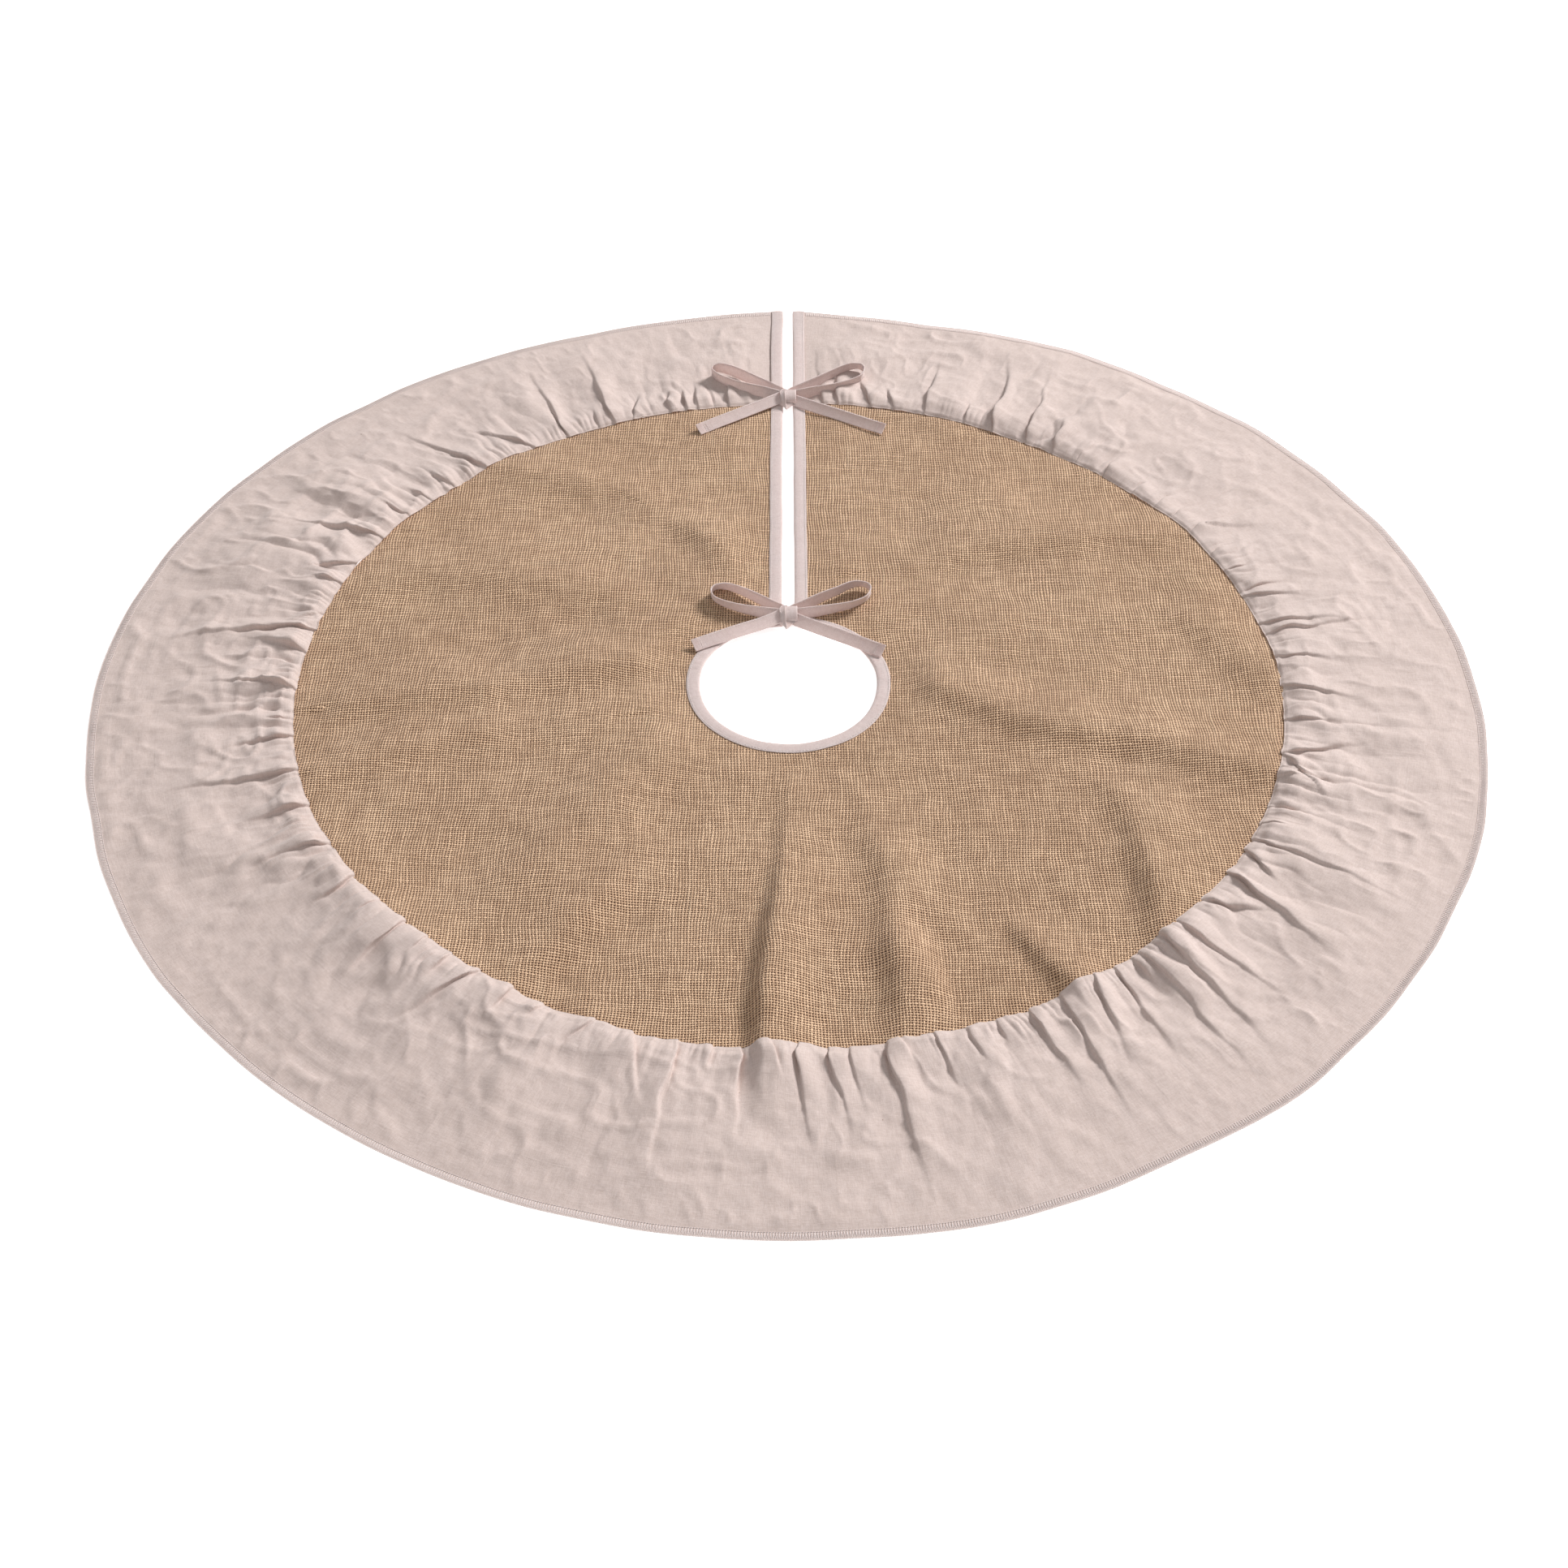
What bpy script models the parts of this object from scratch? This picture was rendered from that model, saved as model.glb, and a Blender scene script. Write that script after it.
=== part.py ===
"""A ruffled tree skirt, 1.22 m across, laid out flat with its two bows tied.

The skirt is a jute disc with a hole for the trunk and a slit at the back. A gathered cotton
ruffle is sewn round the disc, folded tape binds the hole and the slit, and two pairs of cotton
ties close the slit. Cloth bends anywhere, so the skirt is cut here along the fold line that
opens it: the front half lies still, and the two back quarters are flaps that fold over it.

Metres, +Z up. The origin is on the floor under the centre of the hole, and the slit runs
along +Y. Every layer lies a sewing clearance above the one below it.
"""

import math

import bmesh
import bpy
from mathutils import Matrix, Vector

# The skirt's plan
OUTER_RADIUS = 0.610
SEAM_RADIUS = 0.434
NECK_RADIUS = 0.079
SLIT_GAP = 0.011
FOLD_GAP = 0.0003
CLEARANCE = 0.0003

# Cloth, tape and thread
BURLAP_THICKNESS = 0.0012
RUFFLE_THICKNESS = 0.0008
TAPE_THICKNESS = 0.0007
BINDING_WIDTH = 0.012
OVERLOCK_WIDTH = 0.007
OVERLOCK_THICKNESS = 0.0004
SEAM_ALLOWANCE = 0.012

# Ties. Each is a tape folded lengthways and stitched shut.
TIE_WIDTH = 0.012
TIE_THICKNESS = 0.001
TIE_END_HEM = 0.010
SEWN_END_LENGTH = 0.0112
KNOT_WIDTH = 0.015
KNOT_DEPTH = 0.014
KNOT_HEIGHT = 0.0115
KNOT_ROUNDING = 0.003
TIE_ROOT_GAP = 0.0008
TAIL_ROOT_Y = -0.004
LOOP_ROOT_WIDTH = 0.005
LOOP_TAIL_GAP = 0.001
LOOP_WIDTH = 0.026

# The two bows: where the knot lies along the slit, and the lengths and plan angles of its ends.
BOWS = {
    "lower": {"y": 0.088, "loop": 0.080, "tail": 0.087, "loop_angle": 25, "tail_angle": -29},
    "upper": {"y": 0.438, "loop": 0.092, "tail": 0.104, "loop_angle": 33, "tail_angle": -30},
}

# Roundness: straight pieces in a quarter turn
LARGE_ARC_STEPS = 36
SMALL_ARC_STEPS = 18
LOOP_STEPS = 40

# Heights that follow from the layers
SHEET_BASE = TAPE_THICKNESS + CLEARANCE
BINDING_TOP = SHEET_BASE + BURLAP_THICKNESS + CLEARANCE + TAPE_THICKNESS
TIE_BASE = BINDING_TOP + CLEARANCE
BOW_BASE = TIE_BASE + TIE_THICKNESS + CLEARANCE

# Edges that follow from the plan
SLIT_EDGE = SLIT_GAP / 2
BOUND_EDGE = SLIT_EDGE + TAPE_THICKNESS + CLEARANCE
BOUND_RADIUS = NECK_RADIUS + TAPE_THICKNESS + CLEARANCE
BINDING_OUTER_RADIUS = NECK_RADIUS + BINDING_WIDTH
RUFFLE_INNER_RADIUS = SEAM_RADIUS + CLEARANCE
RUFFLE_OUTER_RADIUS = OUTER_RADIUS - OVERLOCK_THICKNESS - CLEARANCE
OVERLOCK_INNER_RADIUS = OUTER_RADIUS - OVERLOCK_WIDTH
BINDING_SIDE = SLIT_EDGE + BINDING_WIDTH
KNOT_RIGHT = SLIT_EDGE - CLEARANCE
KNOT_LEFT = KNOT_RIGHT - KNOT_WIDTH

LEFT, RIGHT = -1, 1
SIDE_NAMES = {LEFT: "left", RIGHT: "right"}

# The cloths' colours and roughnesses
CLOTHS = {
    "jute": ((0.515, 0.305, 0.156), 0.95),
    "ruffle_cotton": ((0.73, 0.61, 0.565), 0.9),
    "tape_cotton": ((0.68, 0.546, 0.533), 0.75),
    "thread": ((0.76, 0.66, 0.64), 0.8),
}


def clear_scene():
    for obj in list(bpy.data.objects):
        bpy.data.objects.remove(obj, do_unlink=True)


def new_collection(name):
    collection = bpy.data.collections.new(name)
    bpy.context.scene.collection.children.link(collection)
    return collection


def cloth_material(piece_name, cloth):
    """A new material for one piece, in its cloth's colour."""
    made = bpy.data.materials.new(f"{piece_name}_{cloth}")
    made.use_nodes = True
    colour, roughness = CLOTHS[cloth]
    shader = made.node_tree.nodes["Principled BSDF"]
    shader.inputs["Base Color"].default_value = (*colour, 1)
    shader.inputs["Roughness"].default_value = roughness
    shader.inputs["Metallic"].default_value = 0
    return made


def mesh_from_curve(curve_object, collection):
    """Replaces a curve object by a welded mesh object of the same name, shape and place."""
    bpy.context.view_layer.update()
    graph = bpy.context.evaluated_depsgraph_get()
    mesh = bpy.data.meshes.new_from_object(curve_object.evaluated_get(graph))
    name, place = curve_object.name, curve_object.matrix_world.copy()
    bpy.data.objects.remove(curve_object)
    welded = bmesh.new()
    welded.from_mesh(mesh)
    bmesh.ops.remove_doubles(welded, verts=welded.verts, dist=1e-6)
    welded.to_mesh(mesh)
    welded.free()
    obj = bpy.data.objects.new(name, mesh)
    obj.matrix_world = place
    collection.objects.link(obj)
    return obj


def plate(name, outlines, bottom, top, collection):
    """A flat piece: closed outlines in plan, the first the outside and any other a hole."""
    curve = bpy.data.curves.new(name, "CURVE")
    curve.dimensions = "2D"
    curve.fill_mode = "BOTH"
    curve.extrude = (top - bottom) / 2
    for outline in outlines:
        spline = curve.splines.new("POLY")
        spline.points.add(len(outline) - 1)
        for point, (x, y) in zip(spline.points, outline):
            point.co = (x, y, 0, 1)
        spline.use_cyclic_u = True
    obj = bpy.data.objects.new(name, curve)
    obj.location.z = (bottom + top) / 2
    collection.objects.link(obj)
    return mesh_from_curve(obj, collection)


def cut(obj, cutter):
    """Takes the cutter's shape away from the object, and hides the cutter."""
    cutter.hide_render = True
    cutter.display_type = "WIRE"
    boolean = obj.modifiers.new("cut", "BOOLEAN")
    boolean.operation = "DIFFERENCE"
    boolean.object = cutter


def join(obj, other):
    """Unites the object with a helper shape, and hides the helper."""
    cut(obj, other)
    obj.modifiers["cut"].operation = "UNION"


def arc(radius, start, end, steps_in_quarter):
    steps = max(1, round(abs(end - start) / (math.pi / 2) * steps_in_quarter))
    angles = [start + (end - start) * i / steps for i in range(steps + 1)]
    return [(radius * math.cos(a), radius * math.sin(a)) for a in angles]


def front_outline(inner, outer, steps):
    """Half a ring in front of the fold line."""

    def ring_arc(radius):
        past_fold = math.asin(FOLD_GAP / 2 / radius)
        return arc(radius, math.pi + past_fold, 2 * math.pi - past_fold, steps)

    return ring_arc(outer) + ring_arc(inner)[::-1]


def flap_outline(inner, outer, edge, side, steps):
    """A quarter ring between the fold line and a line that lies edge away from the slit's middle."""

    def ring_arc(radius):
        return arc(radius, math.asin(FOLD_GAP / 2 / radius), math.acos(edge / radius), steps)

    outline = ring_arc(outer) + ring_arc(inner)[::-1]
    return outline if side == RIGHT else [(-x, y) for x, y in outline[::-1]]


def ring_piece(name, inner, outer, edge, bottom, top, steps, collection):
    """The three parts of a flat ring: its front half and its two quarters at the flaps."""
    parts = [plate(f"{name}_front", [front_outline(inner, outer, steps)], bottom, top, collection)]
    for side in (LEFT, RIGHT):
        outline = flap_outline(inner, outer, edge, side, steps)
        flap_name = f"{name}_{SIDE_NAMES[side]}_flap"
        parts.append(plate(flap_name, [outline], bottom, top, collection))
    return parts


def rectangle(x0, x1, y0, y1):
    x0, x1 = min(x0, x1), max(x0, x1)
    return [(x0, y0), (x1, y0), (x1, y1), (x0, y1)]


def finish(objects, cloth):
    for obj in objects:
        obj.data.materials.append(cloth_material(obj.name, cloth))
        obj.data.shade_smooth()
        obj.data.set_sharp_from_angle(angle=math.radians(30))


def make_burlap(skirt):
    """The jute disc. Its inner and slit edges sit inside the folds of the binding."""
    parts = ring_piece(
        "burlap", BOUND_RADIUS, SEAM_RADIUS, BOUND_EDGE,
        SHEET_BASE, SHEET_BASE + BURLAP_THICKNESS, LARGE_ARC_STEPS, skirt,
    )
    finish(parts, "jute")


def make_ruffle(skirt):
    """The gathered cotton band round the disc."""
    parts = ring_piece(
        "ruffle", RUFFLE_INNER_RADIUS, RUFFLE_OUTER_RADIUS, BOUND_EDGE,
        SHEET_BASE, SHEET_BASE + RUFFLE_THICKNESS, LARGE_ARC_STEPS, skirt,
    )
    finish(parts, "ruffle_cotton")


def make_seam_allowance(skirt):
    """The two cut edges of the ruffle's seam, trimmed together and turned under the jute."""
    parts = ring_piece(
        "seam_allowance", SEAM_RADIUS - SEAM_ALLOWANCE, SEAM_RADIUS, BINDING_SIDE + CLEARANCE,
        0, TAPE_THICKNESS, LARGE_ARC_STEPS, skirt,
    )
    finish(parts, "thread")


def make_neck_binding(skirt, cutters):
    """Tape folded over the edge of the hole, so that its section is a U lying on its side."""
    parts = ring_piece(
        "neck_binding", NECK_RADIUS, BINDING_OUTER_RADIUS, SLIT_EDGE,
        0, BINDING_TOP, SMALL_ARC_STEPS, skirt,
    )
    groove_outline = arc(NECK_RADIUS + TAPE_THICKNESS, 0, 2 * math.pi, SMALL_ARC_STEPS)[:-1]
    rim_outline = arc(BINDING_OUTER_RADIUS * 1.1, 0, 2 * math.pi, SMALL_ARC_STEPS)[:-1]
    groove = plate(
        "neck_groove", [rim_outline, groove_outline],
        TAPE_THICKNESS, BINDING_TOP - TAPE_THICKNESS, cutters,
    )
    for part in parts:
        cut(part, groove)
    finish(parts, "tape_cotton")


def make_edge_overlock(skirt, cutters):
    """The overlock stitch that wraps the ruffle's outer edge."""
    top = SHEET_BASE + RUFFLE_THICKNESS + CLEARANCE + OVERLOCK_THICKNESS
    parts = ring_piece(
        "edge_overlock", OVERLOCK_INNER_RADIUS, OUTER_RADIUS, BINDING_SIDE + CLEARANCE,
        0, top, LARGE_ARC_STEPS, skirt,
    )
    wall_outline = arc(OUTER_RADIUS - OVERLOCK_THICKNESS, 0, 2 * math.pi, LARGE_ARC_STEPS)[:-1]
    groove = plate(
        "overlock_groove", [wall_outline], SHEET_BASE - CLEARANCE, top - OVERLOCK_THICKNESS, cutters
    )
    for part in parts:
        cut(part, groove)
    finish(parts, "thread")


def make_slit_bindings(skirt, cutters):
    """Tape folded over each edge of the slit, from the neck binding to the outer edge."""
    start = BINDING_OUTER_RADIUS + CLEARANCE
    end = math.sqrt(OUTER_RADIUS**2 - BINDING_SIDE**2)
    for side in (LEFT, RIGHT):
        name = f"slit_binding_{SIDE_NAMES[side]}"
        outline = rectangle(side * SLIT_EDGE, side * BINDING_SIDE, start, end)
        binding = plate(name, [outline], 0, BINDING_TOP, skirt)
        past_width = side * (BINDING_SIDE + BINDING_WIDTH)
        groove_outline = rectangle(
            side * (SLIT_EDGE + TAPE_THICKNESS), past_width, start - CLEARANCE, end + CLEARANCE
        )
        groove = plate(
            f"{name}_groove", [groove_outline], TAPE_THICKNESS, BINDING_TOP - TAPE_THICKNESS, cutters
        )
        cut(binding, groove)
        finish([binding], "tape_cotton")


def heading(degrees, side):
    """The plan direction of a bow's end: the angle is measured from +X, or from -X on the left."""
    return Vector((side * math.cos(math.radians(degrees)), math.sin(math.radians(degrees)), 0))


def tie_root(bow, side, root_y, half_width, angle):
    """Where a loop or tail begins: beside the knot, its end clear of the knot's side."""
    knot_side = KNOT_RIGHT if side == RIGHT else KNOT_LEFT
    slant = half_width * abs(math.sin(math.radians(angle)))
    return Vector((knot_side + side * (TIE_ROOT_GAP + slant), bow["y"] + root_y, BOW_BASE))


def along(root, direction, side, distance, across):
    """A plan point that far along an end from its root, and that far across it."""
    normal = Vector((-direction.y, direction.x, 0)) * side
    point = root + direction * distance + normal * across
    return point.x, point.y


def make_tail(name, bow, side, skirt, cutters):
    """A flat free end of a tie, with its tip turned back and stitched."""
    half = TIE_WIDTH / 2
    root = tie_root(bow, side, TAIL_ROOT_Y, half, bow["tail_angle"])
    direction = heading(bow["tail_angle"], side)

    def strip(start, end):
        corners = [(start, -half), (end, -half), (end, half), (start, half)]
        outline = [along(root, direction, side, s, t) for s, t in corners]
        return outline if side == RIGHT else outline[::-1]

    tail = plate(name, [strip(0, bow["tail"])], BOW_BASE, BOW_BASE + TIE_THICKNESS, skirt)
    hem = plate(
        f"{name}_hem", [strip(bow["tail"] - TIE_END_HEM, bow["tail"])],
        BOW_BASE + TIE_THICKNESS / 2, BOW_BASE + 2 * TIE_THICKNESS, cutters,
    )
    join(tail, hem)
    finish([tail], "tape_cotton")


def teardrop(length, root_width, width, inset):
    """A closed loop in plan: narrow at its root and round at its tip, shrunk all round by inset."""
    points = []
    for i in range(LOOP_STEPS):
        turn = 2 * math.pi * i / LOOP_STEPS
        reach = (1 - math.cos(turn)) / 2
        swell = root_width / 2 + (width - root_width) / 2 * math.sin(math.pi * reach**1.6)
        distance = inset + reach * (length - 2 * inset)
        side = math.sin(turn)
        across = (swell - inset) * math.copysign(abs(side) ** 0.5, side)
        points.append((distance, across))
    return points


def make_loop(name, bow, side, skirt):
    """A loop of tie standing on its edge behind the tail, closed where it enters the knot."""
    tail_back = TAIL_ROOT_Y + TIE_WIDTH / 2 * math.cos(math.radians(bow["tail_angle"]))
    root_y = tail_back + LOOP_TAIL_GAP + LOOP_ROOT_WIDTH / 2
    root = tie_root(bow, side, root_y, LOOP_ROOT_WIDTH / 2, bow["loop_angle"])
    direction = heading(bow["loop_angle"], side)
    outlines = []
    for inset in (0, TIE_THICKNESS):
        drop = teardrop(bow["loop"], LOOP_ROOT_WIDTH, LOOP_WIDTH, inset)
        outline = [along(root, direction, side, s, t) for s, t in drop]
        outlines.append(outline if side == LEFT else outline[::-1])
    loop = plate(name, outlines, BOW_BASE, BOW_BASE + TIE_WIDTH, skirt)
    finish([loop], "tape_cotton")


def make_sewn_end(name, bow, side, skirt):
    """The end of a tie that is stitched down on the slit's binding, under the bow."""
    near = BINDING_SIDE - SEWN_END_LENGTH
    half = TIE_WIDTH / 2
    far_from_knot = near if side == RIGHT else max(near, -KNOT_LEFT + CLEARANCE)
    outline = rectangle(side * far_from_knot, side * BINDING_SIDE, bow["y"] - half, bow["y"] + half)
    end = plate(name, [outline], TIE_BASE, TIE_BASE + TIE_THICKNESS, skirt)
    finish([end], "tape_cotton")


def make_knot(name, bow, skirt):
    """The left tie's turns round the middle of the bow, over the slit."""
    bpy.ops.mesh.primitive_cube_add(size=1)
    knot = bpy.context.object
    knot.name = knot.data.name = name
    knot.data.transform(Matrix.Diagonal((KNOT_WIDTH, KNOT_DEPTH, KNOT_HEIGHT, 1)))
    knot.location = ((KNOT_LEFT + KNOT_RIGHT) / 2, bow["y"], TIE_BASE + KNOT_HEIGHT / 2)
    for collection in list(knot.users_collection):
        collection.objects.unlink(knot)
    skirt.objects.link(knot)
    rounding = knot.modifiers.new("rounding", "BEVEL")
    rounding.width = KNOT_ROUNDING
    rounding.segments = 3
    finish([knot], "tape_cotton")


def make_bow(name, bow, skirt, cutters):
    make_knot(f"{name}_knot", bow, skirt)
    for side in (LEFT, RIGHT):
        tie = f"{name}_{SIDE_NAMES[side]}"
        make_sewn_end(f"{tie}_sewn_end", bow, side, skirt)
        make_loop(f"{tie}_loop", bow, side, skirt)
        make_tail(f"{tie}_tail", bow, side, skirt, cutters)


def main():
    clear_scene()
    skirt = new_collection("tree_skirt")
    cutters = new_collection("cutters")
    make_burlap(skirt)
    make_ruffle(skirt)
    make_seam_allowance(skirt)
    make_neck_binding(skirt, cutters)
    make_edge_overlock(skirt, cutters)
    make_slit_bindings(skirt, cutters)
    for name, bow in BOWS.items():
        make_bow(name, bow, skirt, cutters)


main()
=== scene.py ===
# %% [markdown]
# # A tree skirt in Blender
# The skirt is a disc of jute burlap with a round hole for the trunk and a slit to its back edge.
# A gathered cotton ruffle is sewn round it. Folded tape binds the hole and the slit, and two
# pairs of tapes are tied in bows. This script loads the finished CAD frame, which already has
# each piece's place and joints, and makes the cloth, the tapes and the threads that are seen.

import math

import bmesh
import bpy
import numpy as np
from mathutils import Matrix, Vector


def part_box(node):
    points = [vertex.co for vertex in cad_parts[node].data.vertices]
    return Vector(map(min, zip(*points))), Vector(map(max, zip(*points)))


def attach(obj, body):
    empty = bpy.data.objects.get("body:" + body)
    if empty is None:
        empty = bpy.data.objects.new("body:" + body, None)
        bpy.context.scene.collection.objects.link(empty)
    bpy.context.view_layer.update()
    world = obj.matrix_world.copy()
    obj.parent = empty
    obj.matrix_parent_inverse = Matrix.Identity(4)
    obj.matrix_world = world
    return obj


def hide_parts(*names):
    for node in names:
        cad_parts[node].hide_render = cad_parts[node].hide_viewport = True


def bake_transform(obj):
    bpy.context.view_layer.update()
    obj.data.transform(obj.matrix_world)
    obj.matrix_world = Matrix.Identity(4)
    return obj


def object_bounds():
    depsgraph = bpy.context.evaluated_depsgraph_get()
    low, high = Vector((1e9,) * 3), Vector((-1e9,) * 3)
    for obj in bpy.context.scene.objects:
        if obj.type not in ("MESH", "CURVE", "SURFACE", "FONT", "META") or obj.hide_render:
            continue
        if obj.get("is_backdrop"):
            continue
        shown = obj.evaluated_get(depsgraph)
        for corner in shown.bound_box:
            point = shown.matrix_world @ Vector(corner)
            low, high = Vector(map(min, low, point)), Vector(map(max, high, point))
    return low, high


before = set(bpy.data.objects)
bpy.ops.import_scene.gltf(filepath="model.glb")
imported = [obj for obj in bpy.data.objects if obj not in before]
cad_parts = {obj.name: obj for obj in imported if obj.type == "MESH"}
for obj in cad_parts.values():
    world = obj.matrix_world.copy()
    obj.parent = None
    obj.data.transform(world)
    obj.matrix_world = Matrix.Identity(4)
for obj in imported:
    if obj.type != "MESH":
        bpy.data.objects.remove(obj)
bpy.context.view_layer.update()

# %% [markdown]
# ## Sizes
# All lengths are in metres. The radii come from the CAD nodes' boxes, so that the cloth can't
# drift from the frame. Bearings are in degrees: 0 points right, 90 to the slit at the back.

# %% Sizes from the frame
SEAM_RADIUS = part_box("burlap_front")[1].x
OUTER_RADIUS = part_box("edge_overlock_front")[1].x
SLIT_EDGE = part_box("slit_binding_right")[0].x
BINDING_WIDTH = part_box("slit_binding_right")[1].x - SLIT_EDGE
NECK_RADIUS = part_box("neck_binding_front")[1].x - BINDING_WIDTH
BURLAP_MIDDLE = 0.0016
BURLAP_THICKNESS = 0.0012
RUFFLE_THICKNESS = 0.0008
FULLNESS = 1.42
FOLD_END = 0.04
MM = 0.001
print("seam", round(SEAM_RADIUS, 4), "outer", round(OUTER_RADIUS, 4),
      "neck", round(NECK_RADIUS, 4))

# %% [markdown]
# ## Camera, floor and light
# The camera looks down at about 42 degrees from the front. A round soft key light stands behind
# and to the right, so that the folds' near sides fall into shade. A broad weak light from the
# front and a pale world fill them. The world is white only to the camera, as a backdrop, and the
# paper floor glows a little, so that it stays pale far from the lights.

# %% Camera
camera_data = bpy.data.cameras.new("camera")
camera_data.lens = 58.26
camera_data.sensor_width = 36
camera_data.clip_end = 20
camera = bpy.data.objects.new("camera", camera_data)
camera.location = (-0.004, -1.715, 1.448)
camera.rotation_euler = (math.radians(47.54), 0, 0)
bpy.context.scene.collection.objects.link(camera)
bpy.context.scene.camera = camera
bpy.context.scene.view_settings.view_transform = "Standard"
print("camera height", camera.location.z)

# %% Floor and lights
bpy.ops.object.select_all(action="DESELECT")
bpy.ops.mesh.primitive_plane_add(size=60, location=(0, 0, 0))
floor = bpy.context.object
floor.name = "floor"
floor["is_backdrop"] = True


def soft_light(name, toward, angle, strength, away):
    """A round softbox. toward is the way to the light, away its distance, angle how wide it
    looks from the skirt, in degrees, and strength the light that reaches the skirt."""
    data = bpy.data.lights.new(name, "AREA")
    data.shape = "DISK"
    data.size = 2 * away * math.tan(math.radians(angle / 2))
    data.energy = strength * math.pi * away ** 2
    light = bpy.data.objects.new(name, data)
    light.location = Vector(toward).normalized() * away
    light.rotation_euler = Vector(toward).to_track_quat("Z", "Y").to_euler()
    bpy.context.scene.collection.objects.link(light)


soft_light("key_light", (0.79, 0.62, 0.68), 16, 3.75, 11.0)
soft_light("front_fill", (-0.30, -1.0, 1.2), 60, 0.62, 9.0)
world = bpy.data.worlds.new("soft_room")
bpy.context.scene.world = world
world.use_nodes = True
background = world.node_tree.nodes["Background"]
background.inputs["Color"].default_value = (1, 1, 1, 1)
seen = world.node_tree.nodes.new("ShaderNodeLightPath").outputs["Is Camera Ray"]
room = world.node_tree.nodes.new("ShaderNodeMapRange")
world.node_tree.links.new(seen, room.inputs["Value"])
room.inputs["To Min"].default_value = 0.30
room.inputs["To Max"].default_value = 1.0
world.node_tree.links.new(room.outputs[0], background.inputs["Strength"])

# %% [markdown]
# ## Helpers for nodes
# A material here is a small graph of nodes. These helpers place and join nodes, so that each
# recipe below reads as a few lines.


# %% Node helpers
class Graph:
    def __init__(self, tree):
        self.tree = tree

    def node(self, kind, **settings):
        made = self.tree.nodes.new("ShaderNode" + kind)
        for key, value in settings.items():
            setattr(made, key, value)
        return made

    def set(self, socket, value):
        if isinstance(value, bpy.types.NodeSocket):
            self.tree.links.new(value, socket)
        else:
            socket.default_value = value

    def math(self, operation, a, b=0.0, c=0.0, clamp=False):
        made = self.node("Math", operation=operation, use_clamp=clamp)
        for socket, value in zip(made.inputs, (a, b, c)):
            self.set(socket, value)
        return made.outputs[0]

    def mix(self, factor, a, b):
        made = self.node("Mix", data_type="RGBA")
        self.set(made.inputs["Factor"], factor)
        self.set(made.inputs["A"], a)
        self.set(made.inputs["B"], b)
        return made.outputs["Result"]

    def ramp(self, value, low, high, start=0.0, end=1.0):
        made = self.node("MapRange", interpolation_type="SMOOTHSTEP")
        for socket, v in zip(made.inputs, (value, low, high, start, end)):
            self.set(socket, v)
        return made.outputs[0]

    def noise(self, vector, scale, detail=2.0, rough=0.5, across=1.0, along=1.0):
        stretch = self.node("Mapping")
        self.set(stretch.inputs["Vector"], vector)
        stretch.inputs["Scale"].default_value = (across, along, 1.0)
        made = self.node("TexNoise")
        self.set(made.inputs["Vector"], stretch.outputs[0])
        made.inputs["Scale"].default_value = scale
        made.inputs["Detail"].default_value = detail
        made.inputs["Roughness"].default_value = rough
        return made.outputs["Fac"]

    def group(self, tree, **values):
        made = self.node("Group", node_tree=tree)
        for key, value in values.items():
            self.set(made.inputs[key], value)
        return made


def new_group(name, inputs, outputs):
    tree = bpy.data.node_groups.new(name, "ShaderNodeTree")
    for label, kind, value in inputs:
        socket = tree.interface.new_socket(label, in_out="INPUT", socket_type=kind)
        if value is not None:
            socket.default_value = value
    for label, kind in outputs:
        tree.interface.new_socket(label, in_out="OUTPUT", socket_type=kind)
    return Graph(tree), tree.nodes.new("NodeGroupInput"), tree.nodes.new("NodeGroupOutput")


def new_material(name, roughness, sheen=0.0):
    material = bpy.data.materials.new(name)
    material.use_nodes = True
    graph = Graph(material.node_tree)
    shader = material.node_tree.nodes["Principled BSDF"]
    shader.inputs["Roughness"].default_value = roughness
    shader.inputs["Specular IOR Level"].default_value = 0.2
    shader.inputs["Sheen Weight"].default_value = sheen
    shader.inputs["Sheen Roughness"].default_value = 0.5
    return material, graph, shader


print("node helpers ready")

# %% [markdown]
# ## Plain weave
# Burlap and cotton are both plain weaves: each thread goes over one crossing thread and under
# the next. The group draws both sets of threads from the flat cloth's own coordinates, which
# every sheet carries as a UV map in metres. It is a group because three finishes use it, each
# with its own thread pitch. Wander is how unevenly the threads are spaced, Fullness how much of
# its room a thread fills, and Hole is a mask of the gaps that are left, which the finishes darken
# as painted shade.

# %% The weave group
weave, weave_in, weave_out = new_group(
    "plain_weave",
    [("Vector", "NodeSocketVector", None), ("Pitch", "NodeSocketFloat", 0.0024),
     ("Wander", "NodeSocketFloat", 0.2), ("Fullness", "NodeSocketFloat", 0.8)],
    [("Height", "NodeSocketFloat"), ("Tone", "NodeSocketFloat"), ("Hole", "NodeSocketFloat")],
)


def threads(g, place, crossing, pitch, wander, seed):
    """(distance from the thread's middle, its number, the place in threads) for one set."""
    drift = g.node("TexNoise", noise_dimensions="2D")
    joined = g.node("CombineXYZ")
    g.set(joined.inputs[0], g.math("MULTIPLY_ADD", g.math("DIVIDE", place, pitch), 0.45, seed))
    g.set(joined.inputs[1], g.math("MULTIPLY", g.math("DIVIDE", crossing, pitch), 0.09))
    g.set(drift.inputs["Vector"], joined.outputs[0])
    drift.inputs["Scale"].default_value = 1.0
    drift.inputs["Detail"].default_value = 1.5
    moved = g.math("MULTIPLY", g.math("SUBTRACT", drift.outputs["Fac"], 0.5), wander)
    across = g.math("ADD", g.math("DIVIDE", place, pitch), moved)
    number = g.math("FLOOR", across)
    return g.math("SUBTRACT", g.math("SUBTRACT", across, number), 0.5), number, across


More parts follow.
